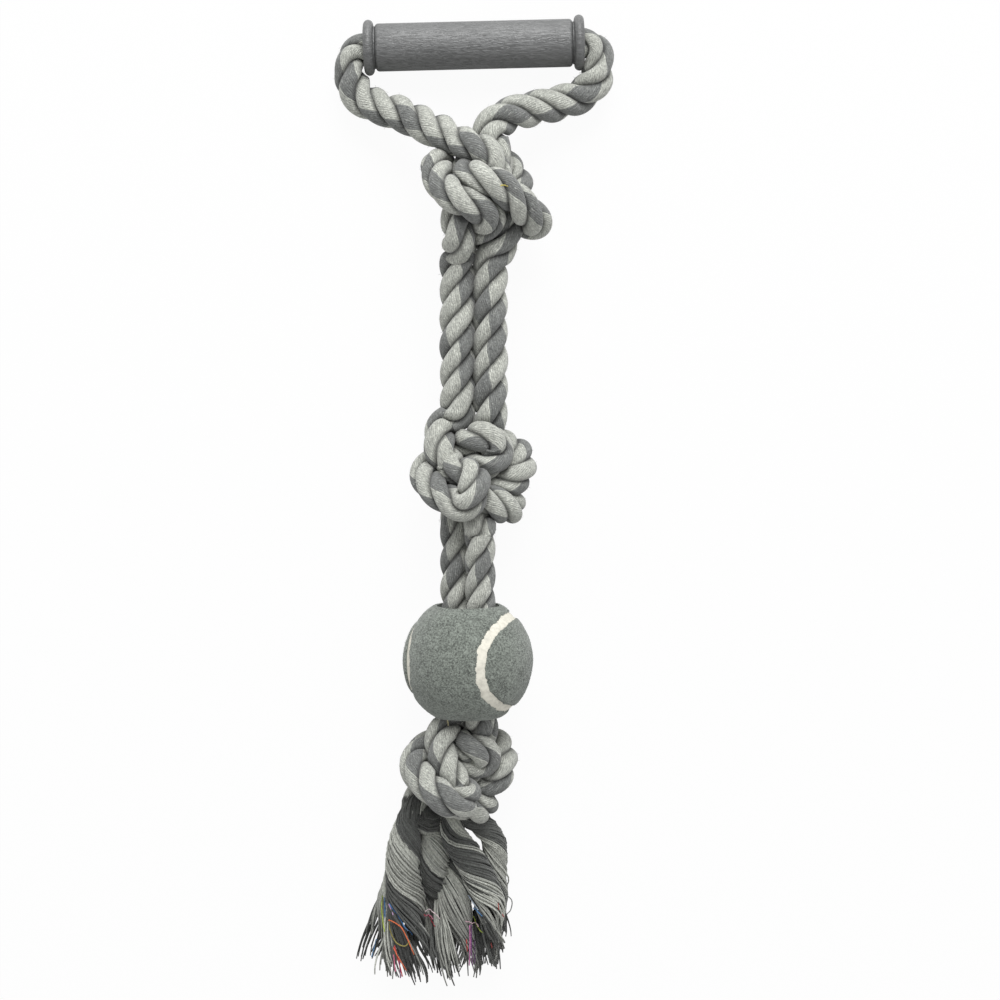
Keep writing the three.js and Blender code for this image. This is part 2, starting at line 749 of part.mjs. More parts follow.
// The cement line between the panels: a closed strip with square edges.
function seamGeometry() {
  const half = seamWidth / 2 - seamGap;
  const low = ballDiameter / 2 - feltThickness;
  const high = ballDiameter / 2 - seamRecess;
  const corners = [[half, low], [half, high], [-half, high], [-half, low]];
  const positions = [];
  const index = [];
  for (let i = 0; i < seamSteps; i += 1) {
    const t = 2 * Math.PI * i / seamSteps;
    corners.forEach(([out, r]) => positions.push(...times(besideSeam(t, out), r)));
  }
  const at = (i, k) => (i % seamSteps) * 4 + (k % 4);
  for (let i = 0; i < seamSteps; i += 1) {
    for (let k = 0; k < 4; k += 1) {
      index.push(at(i, k), at(i, k + 1), at(i + 1, k), at(i, k + 1), at(i + 1, k + 1), at(i + 1, k));
    }
  }
  return solid(positions, index);
}

// The whole rope as one line, from the loose end on the left up through the knots, round the grip
// and down again to the loose end on the right, with the places where its pieces meet.
const drawn = drawUp(throwLooseKnot());
const knots = {};
for (const [name, shape] of Object.entries(knotShapes)) knots[name] = settle(drawn, shape);
const gripDirection = [Math.cos(gripTilt), Math.sin(gripTilt), 0];
const gripCentre = [0, gripCentreY, gripAxisHeight];

// The turn of the rope's centreline out of one end of the grip, in a quarter of a circle.
function rimTurn(hand) {
  const face = add(gripCentre, gripDirection, hand * gripLength / 2);
  const out = times(gripDirection, hand);
  const down = [gripDirection[1], -gripDirection[0], 0];
  const points = [];
  for (let i = armTurnSteps; i >= 0; i -= 1) {
    const angle = quarter * i / armTurnSteps;
    const turned = add(face, out, rimTurnRadius * Math.sin(angle));
    points.push(add(turned, down, rimTurnRadius * (1 - Math.cos(angle))));
  }
  return points;
}

// A straight run of rope between the tails of two knots.
function joined(below, above) {
  const from = below[below.length - 1];
  const way = minus(above[0], from);
  const straight = straightShares.map((share) => add(from, way, share));
  return [...below, ...straight, ...above];
}

function sideParts(side) {
  const top = cutKnot(knots.top[side], knotShapes.top);
  const middle = cutKnot(knots.middle[side], knotShapes.middle);
  const bottom = cutKnot(knots.bottom[side], knotShapes.bottom);
  return [
    ["bottom_knot", bottom.knot],
    ["lower_leg", joined(bottom.tailAbove, middle.tailBelow)],
    ["middle_knot", middle.knot],
    ["upper_leg", joined(middle.tailAbove, top.tailBelow)],
    ["top_knot", top.knot],
  ];
}

const overTopKnot = ([x, over, z]) => [x, topKnotY + over, z];

// The straight of the rope inside the grip, listed from one end inward.
function insideGrip(hand) {
  return insideGripShares.map((share) => add(gripCentre, gripDirection, hand * share * gripLength / 2));
}

const armBends = {
  left: [...leftArm.map(overTopKnot), ...rimTurn(-1), ...insideGrip(-1)],
  right: [...rightArm.map(overTopKnot), ...rimTurn(1), ...insideGrip(1)],
};
const loopPoints = [...armBends.left, ...[...armBends.right].reverse()];
const upward = sideParts(0);
const downward = sideParts(1).reverse().map(([name, points]) => [name, [...points].reverse()]);
const sided = (hand) => ([name, points]) => [
  name.endsWith("leg") ? `${name}_${hand}` : `${name}_${hand}_rope`,
  points,
];
const parts = [...upward.map(sided("left")), ["rope_loop", loopPoints], ...downward.map(sided("right"))];

const wholeLine = smoothLine(parts.flatMap(([, points]) => points));
const lineLengths = lengthsAlong(wholeLine);
const lineTangents = tangentsAlong(wholeLine);
const stretches = {};
let counted = 0;
for (const [name, points] of parts) {
  const first = counted;
  counted += points.length;
  const next = Math.min(counted * lineStepsPerSpan, wholeLine.length - 1);
  stretches[name] = { from: first * lineStepsPerSpan, to: next };
}

// How thick the rope is at a length along it: its free width, less wherever something squeezes it.
const squeezes = [];
for (const [name, shape] of Object.entries(knotShapes)) {
  for (const hand of ["left", "right"]) {
    squeezes.push([stretches[`${name}_knot_${hand}_rope`], ropeInKnot(shape) / 2]);
  }
}
for (const hand of ["left", "right"]) squeezes.push([stretches[`lower_leg_${hand}`], boredRopeDiameter / 2]);
const loopStart = stretches.rope_loop.from;
const turnSpan = armTurnSteps * lineStepsPerSpan;
const leftTurn = loopStart + leftArm.length * lineStepsPerSpan;
const rightTurn = leftTurn + turnSpan + (2 * insideGripShares.length + 1) * lineStepsPerSpan;
squeezes.push([{ from: leftTurn - lineStepsPerSpan, to: leftTurn + turnSpan }, pinchedRopeDiameter / 2]);
squeezes.push([{ from: rightTurn, to: rightTurn + turnSpan + lineStepsPerSpan }, pinchedRopeDiameter / 2]);

function ropeRadius(s) {
  return Math.min(...squeezes.map(([{ from, to }, radius]) => {
    const away = Math.max(lineLengths[from] - s, s - lineLengths[to], heldLength) - heldLength;
    return mix(radius, ropeDiameter / 2, ease(clamp(away / taperLength, 0, 1)));
  }));
}

// One piece of the rope between two places on the whole line, short of its neighbours by half a gap.
function ropePiece({ from, to }) {
  const ends = [lineLengths[from] + (from > 0 ? seatClearance / 2 : 0), lineLengths[to] - seatClearance / 2];
  if (to === wholeLine.length - 1) ends[1] = lineLengths[to];
  const inside = wholeLine.filter((_, i) => lineLengths[i] > ends[0] && lineLengths[i] < ends[1]);
  const line = [pointAt(ends[0]), ...inside, pointAt(ends[1])];
  const radiusAt = (s) => ropeRadius(ends[0] + s);
  return tube(line, radiusAt, ropeSides, ropeStep, [lineTangents[from], lineTangents[to]]);
}

function pointAt(s) {
  let k = 0;
  while (k < lineLengths.length - 2 && lineLengths[k + 1] < s) k += 1;
  const t = (s - lineLengths[k]) / (lineLengths[k + 1] - lineLengths[k]);
  return add(wholeLine[k], minus(wholeLine[k + 1], wholeLine[k]), t);
}

// A loose strand from its seat in the end of the rope, widening as its yarns open out.
function looseStrand({ rope, seat, way }) {
  const last = wholeLine.length - 1;
  const end = rope === 0 ? wholeLine[0] : wholeLine[last];
  const ahead = rope === 0 ? times(lineTangents[0], -1) : lineTangents[last];
  const across = unit(add([1, 0, 0], ahead, -ahead[0]));
  const up = cross(ahead, across);
  const angle = strandAngles[seat] * Math.PI / 180;
  const round = add(times(across, Math.cos(angle)), up, Math.sin(angle));
  const start = add(add(end, ahead, seatClearance), round, strandRingRadius);
  const lead = add(start, ahead, strandDiameter / 2);
  const control = [start, lead, ...way.map(([x, below, z]) => [x, bottomKnotY - below, z])];
  const widths = [strandDiameter, strandDiameter, ...way.map((row) => row[3])];
  const line = smoothLine(control);
  const lengths = lengthsAlong(line);
  const at = control.map((_, i) => lengths[i * lineStepsPerSpan]);
  const radiusAt = (s) => {
    let k = 0;
    while (k < at.length - 2 && at[k + 1] < s) k += 1;
    return mix(widths[k], widths[k + 1], clamp((s - at[k]) / (at[k + 1] - at[k]), 0, 1)) / 2;
  };
  return { line, radiusAt, ahead };
}

// Reads a geometry into the solid modeller and back, to cut one body with another.
function toManifold(geometry) {
  const bare = geometry.clone();
  bare.deleteAttribute("normal");
  bare.deleteAttribute("uv");
  const merged = mergeVertices(bare, mergeDistance);
  const vertProperties = new Float32Array(merged.getAttribute("position").array);
  const triVerts = new Uint32Array(merged.getIndex().array);
  return new wasm.Manifold(new wasm.Mesh({ numProp: 3, vertProperties, triVerts }));
}

function fromManifold(body) {
  const mesh = body.getMesh();
  return solid([...mesh.vertProperties], [...mesh.triVerts]);
}

function felt(from, width, holed) {
  let panel = toManifold(panelGeometry(from, width));
  if (holed) {
    const drill = wasm.Manifold.cylinder(2 * ballDiameter, ballBore / 2, ballBore / 2, cupSides, true);
    panel = panel.subtract(drill.rotate([90, 0, 0]));
  }
  return fromManifold(panel);
}

const grey = { roughness: 0.95, metalness: 0 };
const materials = {
  grip: { color: 0x6f7172, roughness: 0.5, metalness: 0 },
  rope: { color: 0xa9aba5, ...grey },
  strand: { color: 0x8b8d8a, ...grey },
  rubber: { color: 0x3c3f3e, roughness: 0.8, metalness: 0 },
  felt: { color: 0x707a74, ...grey },
  seam: { color: 0xcfcabb, roughness: 0.8, metalness: 0 },
};

const group = new THREE.Group();
group.name = "rope_dog_toy";

function put(name, geometry, material, at = [0, 0, 0]) {
  const mesh = new THREE.Mesh(geometry, new THREE.MeshStandardMaterial(materials[material]));
  geometry.translate(...at);
  mesh.name = name;
  group.add(mesh);
}

put("grip", gripGeometry(), "grip");
for (const [name, stretch] of Object.entries(stretches)) put(name, ropePiece(stretch), "rope");
const strands = looseStrands.map(looseStrand);
strands.forEach(({ line, radiusAt, ahead }, i) => {
  put(`tassel_strand_${i + 1}`, tube(line, radiusAt, ropeSides, strandStep, [ahead]), "strand");
});
put("ball_core_upper", cupGeometry(1), "rubber", ballCentre);
put("ball_core_lower", cupGeometry(-1), "rubber", ballCentre);
put("felt_panel_a", felt(3 * Math.PI / 4, seamWidth / 2, true), "felt", ballCentre);
put("felt_panel_b", felt(Math.PI / 4, -seamWidth / 2, false), "felt", ballCentre);
put("seam_line", seamGeometry(), "seam", ballCentre);

// Everything is moved so that the frame's origin is under the middle of the whole toy.
const bounds = new THREE.Box3().setFromObject(group);
const shift = [-(bounds.min.x + bounds.max.x) / 2, -(bounds.min.y + bounds.max.y) / 2, -bounds.min.z];
group.children.forEach((mesh) => mesh.geometry.translate(...shift));

// What the checks by eye need: places in the shared frame and the least gaps, all in millimetres.
const placed = (p) => add(p, shift).map((v) => v.toFixed(2)).join(", ");
const whole = bounds.getSize(new THREE.Vector3()).toArray().map((v) => v.toFixed(1)).join(" x ");
console.log(`whole toy ${whole}, moved by ${shift.map((v) => v.toFixed(3)).join(", ")}`);
console.log(`grip centre ${placed(gripCentre)}; ball centre ${placed(ballCentre)}`);
for (const [name, shape] of Object.entries(knotShapes)) {
  console.log(`${name} knot at ${placed(shape.at)}, least gap ${leastGap(knots[name], shape).toFixed(2)}`);
}

function ropeGaps() {
  const radii = lineLengths.map(ropeRadius);
  const apart = ropeDiameter * apartShare;
  let least = Infinity;
  let where = [0, 0];
  for (let i = 0; i < wholeLine.length; i += 2) {
    for (let j = i + 1; j < wholeLine.length; j += 2) {
      if (lineLengths[j] - lineLengths[i] < apart) continue;
      const gap = size(minus(wholeLine[i], wholeLine[j])) - radii[i] - radii[j];
      if (gap < least) {
        least = gap;
        where = [i, j];
      }
    }
  }
  return `${least.toFixed(2)} between ${placed(wholeLine[where[0]])} and ${placed(wholeLine[where[1]])}`;
}

function ballGaps(slide) {
  let least = Infinity;
  let where = 0;
  wholeLine.forEach((p, i) => {
    const radius = ropeRadius(lineLengths[i]);
    const { off } = fromBall(p, add(ballCentre, [0, slide, 0]));
    const gap = Math.hypot(off[0], off[1]) - radius;
    if (gap < least) {
      least = gap;
      where = i;
    }
  });
  return `${least.toFixed(2)} at ${placed(wholeLine[where])}`;
}

for (const end of [0, wholeLine.length - 1]) {
  const along = lineTangents[end].map((v) => v.toFixed(2));
  console.log(`loose end of the rope at ${placed(wholeLine[end])}, along ${along}`);
}

// The least gap between two strands, or between a strand and the rope.
function gapBetween(a, b) {
  let least = Infinity;
  let where = a.line[0];
  const widthsOf = ({ line, radiusAt }) => lengthsAlong(line).map(radiusAt);
  const [ra, rb] = [widthsOf(a), widthsOf(b)];
  a.line.forEach((p, i) => b.line.forEach((q, j) => {
    const gap = size(minus(p, q)) - ra[i] - rb[j];
    if (gap < least) {
      least = gap;
      where = p;
    }
  }));
  return `${least.toFixed(2)} at ${where.map((v) => v.toFixed(0))}`;
}

const rope = { line: wholeLine, radiusAt: ropeRadius };
strands.forEach((strand, i) => {
  const gaps = strands.slice(i + 1).map((other, j) => `to ${i + j + 2}: ${gapBetween(strand, other)}`);
  console.log(`strand ${i + 1} to the rope: ${gapBetween(strand, rope)}; ${gaps.join("; ")}`);
});
console.log(`rope to rope ${ropeGaps()}`);
for (const slide of slidesLookedAt) console.log(`rope to ball moved up by ${slide}: ${ballGaps(slide)}`);

export default group;
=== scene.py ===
# %% [markdown]
# # A rope tug toy with a handgrip, three knots and a felt ball
#
# The toy is one thick cotton rope, folded double. Its loop runs through a moulded grip, both ropes
# together are tied in three double overhand knots, a felt ball sits on them between the lower two
# knots, and each rope end is opened into three hanks of yarn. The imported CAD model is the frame: it
# says where everything is. This script gives each piece its real surface: strands and yarns on the
# rope, nap on the felt, grain on the grip.

# %% The frame
import bpy
import math
import numpy as np
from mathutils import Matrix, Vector


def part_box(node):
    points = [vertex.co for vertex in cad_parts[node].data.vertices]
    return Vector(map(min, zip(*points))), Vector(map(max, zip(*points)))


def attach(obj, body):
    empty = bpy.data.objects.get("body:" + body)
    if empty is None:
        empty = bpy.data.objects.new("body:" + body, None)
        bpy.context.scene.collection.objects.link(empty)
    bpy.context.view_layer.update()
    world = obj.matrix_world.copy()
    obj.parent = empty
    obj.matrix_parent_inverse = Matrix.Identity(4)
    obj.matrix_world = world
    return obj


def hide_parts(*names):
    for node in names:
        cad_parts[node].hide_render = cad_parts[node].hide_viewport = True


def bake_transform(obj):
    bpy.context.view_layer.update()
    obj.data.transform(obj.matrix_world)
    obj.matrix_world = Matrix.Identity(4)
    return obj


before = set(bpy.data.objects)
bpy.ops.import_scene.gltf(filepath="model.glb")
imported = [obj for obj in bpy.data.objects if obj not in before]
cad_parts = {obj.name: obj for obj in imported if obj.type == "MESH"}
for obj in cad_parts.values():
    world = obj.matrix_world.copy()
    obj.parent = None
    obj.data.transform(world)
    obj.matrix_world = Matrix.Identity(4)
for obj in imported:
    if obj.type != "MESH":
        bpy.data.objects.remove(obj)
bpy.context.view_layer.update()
scene = bpy.context.scene
scene.view_settings.view_transform = "Standard"
MM = 0.001

# %% [markdown]
# ## Camera
#
# The toy lies on a table and is photographed from above. Two things tell where the camera was: the
# hole in the ball's upper end is seen as a narrow ellipse, so the camera is a little nearer the grip
# than the ball, and nothing looks stretched towards the edges, so it is about a metre away. A lens of
# 72 mm at one metre takes in half a metre.

# %% Camera
VIEW_MIDDLE = Vector((0.0128, -0.0019, 0.027))
VIEW_DISTANCE = 1.0
VIEW_WIDTH = 0.5
VIEW_LEAN = math.radians(3.3)

bpy.ops.object.select_all(action="DESELECT")
bpy.ops.object.camera_add(
    location=VIEW_MIDDLE + VIEW_DISTANCE * Vector((0, math.sin(VIEW_LEAN), math.cos(VIEW_LEAN))),
    rotation=(-VIEW_LEAN, 0, 0),
)
camera = bpy.context.object
camera.data.sensor_width = 36
camera.data.lens = camera.data.sensor_width * VIEW_DISTANCE / VIEW_WIDTH
scene.camera = camera
print("camera at", [round(v, 3) for v in camera.location], "lens", camera.data.lens)

# %% [markdown]
# ## The way of the rope
#
# A rope of this kind could be drawn by hand as a curve, but nobody draws a double overhand knot
# right by eye. So it is tied. Two ropes are a row of beads each, thrown loosely side by side along a
# known overhand curve. Then their ends are pulled, and in each small step the beads keep their
# distance along the rope and push each other apart where two ropes touch. What comes out is the knot
# that the real rope makes. Lengths here are in rope spacings.

# %% Lines in space
def lengths_along(points):
    """How far along a line each of its points is."""
    return np.concatenate([[0.0], np.cumsum(np.linalg.norm(np.diff(points, axis=0), axis=1))])


def unit(ways):
    """Each direction made one long."""
    return ways / np.linalg.norm(ways, axis=-1, keepdims=True)


def tangents_along(points):
    return unit(np.vstack([points[1:], points[-1:]]) - np.vstack([points[:1], points[:-1]]))


def carried_sides(tangents, side):
    """A side direction taken along a line without twist."""
    sides = []
    for tangent in tangents:
        side = side - np.dot(side, tangent) * tangent
        side = side / np.linalg.norm(side)
        sides.append(side)
    return np.array(sides)


def even_points(points, count):
    """The same line as evenly spaced points."""
    lengths = lengths_along(points)
    wanted = np.linspace(0, lengths[-1], count)
    return np.stack([np.interp(wanted, lengths, points[:, k]) for k in range(3)], 1)


def ease(t):
    """From 0 to 1 with a soft start and a soft end."""
    t = np.clip(t, 0, 1)
    return t * t * (3 - 2 * t)


print("a quarter of the way eased is", ease(0.25))

# %% Two ropes thrown loosely
BEADS = 70
BEAD_STEP = 0.35
SIDE_BY_SIDE = 1.04
THROWN_APART = 1.05
CURVE_END = 2.15
TINY = 1e-9


def thrown_loosely():
    """Two rows of beads, side by side along a loose overhand curve."""
    t = np.linspace(-CURVE_END, CURVE_END, 600)
    line = np.stack([0.8 * (t**3 - 3 * t), 0.6 * (t**5 / 5 - 2 * t), 0.8 * (t**4 - 4 * t**2)], 1)
    sides = carried_sides(tangents_along(line), np.array([1.0, 0.0, 0.0]))
    ropes = [line - THROWN_APART / 2 * sides, line + THROWN_APART / 2 * sides]
    fit = (BEADS - 1) * BEAD_STEP / lengths_along(ropes[1])[-1]
    return np.stack([even_points(rope, BEADS) * fit for rope in ropes])


loose = thrown_loosely()
print("loose knot of", loose.shape[1], "beads in each of", loose.shape[0], "ropes")

# %% What happens to the beads in one step
pair_a, pair_b = np.triu_indices(2 * BEADS, 1)
one_rope = pair_a // BEADS == pair_b // BEADS


def straighten(beads, share):
    """Each bead moves a little towards the middle between its neighbours."""
    beads[:, 1:-1] += share * ((beads[:, :-2] + beads[:, 2:]) / 2 - beads[:, 1:-1])


def keep_length(beads):
    """Each two beads in a row go back to one bead step apart."""
    for parity in (0, 1):
        for rope in (0, 1):
            first = np.arange((parity + rope) % 2, BEADS - 1, 2)
            step = beads[rope, first + 1] - beads[rope, first]
            long = np.linalg.norm(step, axis=1)[:, None]
            half = step * (long - BEAD_STEP) / (2 * long)
            beads[rope, first] += half
            beads[rope, first + 1] -= half


def push_apart(beads, neighbours):
    """Beads nearer than one rope spacing push each other, unless they are near along one rope."""
    flat = beads.reshape(-1, 3)
    way = flat[pair_b] - flat[pair_a]
    apart = np.linalg.norm(way, axis=1)
    near = (apart < 1) & ~(one_rope & (pair_b - pair_a < neighbours))
    a, b, way, apart = pair_a[near], pair_b[near], way[near], apart[near]
    move = way * ((1 - apart) / (2 * np.maximum(apart, TINY)))[:, None]
    push = np.zeros_like(flat)
    np.add.at(push, a, -move)
    np.add.at(push, b, move)
    touches = np.bincount(a, minlength=len(flat)) + np.bincount(b, minlength=len(flat))
    flat += push * (0.8 / np.sqrt(np.maximum(touches, 1)))[:, None]


def draw_together(beads):
    """Each bead pulls the nearest bead of the other rope to its side."""
    places = np.clip(np.arange(BEADS)[:, None] + np.arange(-4, 5), 0, BEADS - 1)
    rows = np.arange(BEADS)
    for own, other in ((0, 1), (1, 0)):
        ways = beads[other][places] - beads[own][:, None]
        apart = np.linalg.norm(ways, axis=2)
        best = apart.argmin(axis=1)
        least = apart[rows, best]
        pull = 0.2 * np.maximum(least - SIDE_BY_SIDE, 0) / (2 * np.maximum(least, TINY))
        moves = ways[rows, best] * pull[:, None]
        beads[own] += moves
        np.subtract.at(beads[other], places[rows, best], moves)


print(len(pair_a), "pairs of beads are compared in each step")

# %% Drawing the knot up
END_PULL = 0.006
PACKING = 0.003
IN_COILS = 1.15


def drawn_up(beads, steps=2000):
    """The knot after its ends have been pulled; the tails end up straight and side by side."""
    beads = beads.copy()
    held = np.array([0, 1, 2, BEADS - 3, BEADS - 2, BEADS - 1])
    start = beads[:, held].copy()
    goal = (np.array([0, 1]) - 0.5)[:, None] * SIDE_BY_SIDE

    def hold(u):
        beads[:, held, 0] = start[:, :, 0] + u * (goal - start[:, :, 0])
        beads[:, held, 2] = start[:, :, 2] * (1 - u)

    for step in range(steps):
        u = float(ease(step / (0.3 * steps)))
        straighten(beads, 0.08)
        draw_together(beads)
        beads[:, 0, 1] -= END_PULL
        beads[:, -1, 1] += END_PULL
        if step > 0.25 * steps:
            out = np.hypot(beads[:, :, 0], beads[:, :, 2])
            middle = beads[out > IN_COILS][:, 1].mean() if (out > IN_COILS).any() else 0.0
            packed = PACKING * np.clip(beads[:, :, 1] - middle, -1, 1)
            beads[:, :, 1] -= np.where(out > 1, packed, 0)
        for _ in range(4):
            keep_length(beads)
            hold(u)
        push_apart(beads, 5)
        hold(u)
    return beads * np.array([-1.0, 1.0, 1.0])


drawn = drawn_up(loose)
print("drawn knot is", np.round(np.ptp(drawn.reshape(-1, 3), axis=0), 2), "rope spacings in size")

# %% [markdown]
# The drawn knot is used three times. Each one is turned and pressed to what the photograph shows, and
# then settles once more in its place on the toy: its tails are led to the straight ropes, it stays on
# the table, and the two lower ones stay off the ball. The numbers are those of the CAD model, in
# millimetres from the middle of the grip and the tips of the yarns.

# %% Sizes and places of the CAD model
KNOT_CLEARANCE = 0.8
RIM_CLEARANCE = 0.9
BALL = 65.0
BORE = 32.0
GRIP_LENGTH = 110.0
GRIP_TILT = math.radians(1.4)
GRIP_MIDDLE = np.array([0.0, 473.0, 13.7])
BALL_MIDDLE = np.array([-3.0, 166.0, 32.5])
UPPER = {"x": 0.0, "z": 28.0, "gap": 17.8, "angle": 0.0}
LOWER = {"x": -3.0, "z": 32.5, "gap": 15.8, "angle": math.radians(40)}
KNOTS = {
    "top": {
        "at": [4.5, 396, 29], "spacing": 13.8, "pressed": 0.9, "turn": 45, "upside_down": False,
        "above": {"x": -2.8, "z": 29, "gap": 14.6, "angle": 0, "from": 1.8, "cut": 1.95},
        "below": {**UPPER, "from": 1.8, "cut": 1.95},
    },
    "middle": {
        "at": [1, 260, 26], "spacing": 13.5, "pressed": 0.85, "turn": 205, "upside_down": True,
        "above": {**UPPER, "from": 1.8, "cut": 1.95},
        "below": {**LOWER, "from": 1.6, "cut": 2.35},
    },
    "bottom": {
        "at": [-7.5, 113.5, 27], "spacing": 12.9, "pressed": 0.72, "turn": 225, "upside_down": True,
        "above": {**LOWER, "from": 1.4, "cut": 2.3},
        "below": {"x": -18, "z": 22, "gap": 24, "angle": 0, "from": 1.7, "cut": 2.4},
    },
}
grip_low, grip_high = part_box("grip")
TO_FRAME = np.array((grip_low + grip_high) / 2) - GRIP_MIDDLE * MM


def in_frame(points):
    """Millimetres of the CAD model's own layout to metres in the frame."""
    return np.asarray(points, float) * MM + TO_FRAME


print("the layout moves by", np.round(TO_FRAME / MM, 2), "mm into the frame")

# %% Staying off the ball
def off_ball(points):
    """Ways from the ball to the points, across its axis and along it, in millimetres."""
    from_middle = points - BALL_MIDDLE
    rim = math.sqrt((BALL / 2) ** 2 - (BORE / 2) ** 2)
    rho = np.hypot(from_middle[:, 0], from_middle[:, 2])
    height = np.abs(from_middle[:, 1])
    outside = 1 - BALL / (2 * np.linalg.norm(from_middle, axis=1))
    off = np.stack([rho * outside, height * outside], 1)
    at_rim = np.arctan2(rho, height) < math.atan2(BORE / 2, rim)
    off[at_rim] = np.stack([rho - BORE / 2, height - rim], 1)[at_rim]
    in_hole = (height < rim) & (rho < BORE / 2)
    off[in_hole] = np.stack([rho - BORE / 2, np.zeros(len(rho))], 1)[in_hole]
    return from_middle, rho, off


def keep_off_ball(beads, shape):
    """Beads that touch the ball or the hole's rim are moved straight away from it."""
    flat = beads.reshape(-1, 3)
    points = flat * shape["spacing"] + np.array(shape["at"])
    from_middle, rho, off = off_ball(points)
    apart = np.hypot(off[:, 0], off[:, 1])
    radius = (shape["spacing"] - KNOT_CLEARANCE) / 2 + RIM_CLEARANCE
    push = np.where(apart < radius, (radius - apart) / (np.maximum(apart, TINY) * shape["spacing"]), 0)
    aside = off[:, 0] * push / np.maximum(rho, TINY)
    flat[:, 0] += from_middle[:, 0] * aside
    flat[:, 1] += np.sign(from_middle[:, 1]) * off[:, 1] * push
    flat[:, 2] += from_middle[:, 2] * aside


print("the ball keeps", RIM_CLEARANCE, "mm from the knots")

# %% Turning and pressing a knot
KNOT_HALF = 2.2


def turned_and_pressed(drawn, shape):
    """The drawn knot turned about its long axis, centred, and pressed together along it."""
    beads = drawn.copy()
    if shape["upside_down"]:
        beads = (beads * np.array([-1.0, -1.0, 1.0]))[:, ::-1].copy()
    c, s = math.cos(math.radians(shape["turn"])), math.sin(math.radians(shape["turn"]))
    x, z = beads[:, :, 0].copy(), beads[:, :, 2].copy()
    beads[:, :, 0], beads[:, :, 2] = c * x + s * z, -s * x + c * z
    coils = beads[np.hypot(beads[:, :, 0], beads[:, :, 2]) > IN_COILS]
    beads -= (coils.min(0) + coils.max(0)) / 2
    y = beads[:, :, 1].copy()
    in_knot = np.clip((KNOT_HALF - np.abs(y)) / 0.5, 0, 1)
    wide = 1 + (1 / math.sqrt(shape["pressed"]) - 1) * in_knot
    beads[:, :, 0] *= wide
    beads[:, :, 2] *= wide
    beads[:, :, 1] -= (1 - shape["pressed"]) * np.clip(y, -KNOT_HALF, KNOT_HALF)
    return beads


def tail_goals(beads, shape):
    """For each bead: its goal across the rope, how far out it is led there, and on which side."""
    goals = np.zeros((2, BEADS, 2))
    led_from = np.zeros(BEADS)
    side = np.zeros(BEADS)
    half, spacing = BEADS // 2, shape["spacing"]
    for end, name, part in ((0, "below", slice(0, half)), (-1, "above", slice(half, BEADS))):
        pair = shape[name]
        across = beads[1, end] - beads[0, end]
        now = math.atan2(across[2], across[0])
        angle = pair["angle"] + math.floor((now - pair["angle"]) / math.pi + 0.5) * math.pi
        for rope in (0, 1):
            out = (rope - 0.5) * pair["gap"] / spacing
            goals[rope, part, 0] = (pair["x"] - shape["at"][0]) / spacing + out * math.cos(angle)
            goals[rope, part, 1] = (pair["z"] - shape["at"][2]) / spacing + out * math.sin(angle)
        led_from[part] = pair["from"]
        side[part] = 1 if name == "above" else -1
    return goals, led_from, side


print("knots are pressed to", [shape["pressed"] for shape in KNOTS.values()], "of their length")

# %% Settling a knot in its place
def settled(drawn, shape, steps=500):
    """A knot in its place, in mm, with the left rope first."""
    beads = turned_and_pressed(drawn, shape)
    goals, led_from, side = tail_goals(beads, shape)
    floor = ((shape["spacing"] - KNOT_CLEARANCE) / 2 - shape["at"][2]) / shape["spacing"]
    for step in range(steps):
        straighten(beads, 0.03)
        led = 0.05 * min(1, step / (0.3 * steps))
        share = led * np.clip((side * beads[:, :, 1] - led_from) / 0.7, 0, 1)
        beads[:, :, 0] += share * (goals[:, :, 0] - beads[:, :, 0])
        beads[:, :, 2] += share * (goals[:, :, 1] - beads[:, :, 2])
        keep_length(beads)
        keep_length(beads)
        for _ in range(2):
            push_apart(beads, 4)
            beads[:, :, 2] = np.maximum(beads[:, :, 2], floor)
            if step > 0.5 * steps:
                keep_off_ball(beads, shape)
    placed = beads * shape["spacing"] + np.array(shape["at"])
    return placed if placed[0, -1, 0] < placed[1, -1, 0] else placed[::-1]


tied = {name: settled(drawn, shape) for name, shape in KNOTS.items()}
for name, knot in tied.items():
    print(name, "knot spans", np.round(np.ptp(knot.reshape(-1, 3), axis=0), 1), "mm")

# %% [markdown]
# The rope is really one piece, so it is made as one smooth line: from the loose end on the left, up
# through the knots, round the grip and down to the loose end on the right. It is then cut where the
# pieces of the CAD model meet, and each piece keeps its place in the strand pattern, so the strands
# run on unbroken.

# %% The two arms of the loop
LEFT_ARM = [
    (-17.5, 428.5, 28.5), (-26.5, 433, 23.5), (-37, 438.5, 19),
    (-47, 442, 15), (-55.5, 446, 13), (-61.1, 453.5, 13),
]
RIGHT_ARM = [
    (9, 431, 27), (17, 437, 24), (28, 440.5, 19.5), (40, 443.5, 15.5),
    (50, 446.5, 13), (57, 450.5, 13), (61.3, 456.5, 13),
]
ARM_TURN_STEPS = 5
RIM_TURN_RADIUS = 7.7
BORE_POINTS = (0.95, 0.85, 0.5)
SPAN_STEPS = 8
grip_way = np.array([math.cos(GRIP_TILT), math.sin(GRIP_TILT), 0])


def half_loop(arm, hand):
    """One arm, the quarter turn into the grip's bore, and the way to its middle; hand is -1 or 1."""
    face = GRIP_MIDDLE + hand * GRIP_LENGTH / 2 * grip_way
    down = np.array([grip_way[1], -grip_way[0], 0])
    turns = [math.pi / 2 * i / ARM_TURN_STEPS for i in range(ARM_TURN_STEPS, -1, -1)]
    round_rim = [
        face + RIM_TURN_RADIUS * (hand * math.sin(a) * grip_way + (1 - math.cos(a)) * down)
        for a in turns
    ]
    in_bore = [GRIP_MIDDLE + hand * share * GRIP_LENGTH / 2 * grip_way for share in BORE_POINTS]
    return [np.array(p, float) for p in arm] + round_rim + in_bore


loop_points = half_loop(LEFT_ARM, -1) + half_loop(RIGHT_ARM, 1)[::-1]
print("the loop has", len(loop_points), "points")

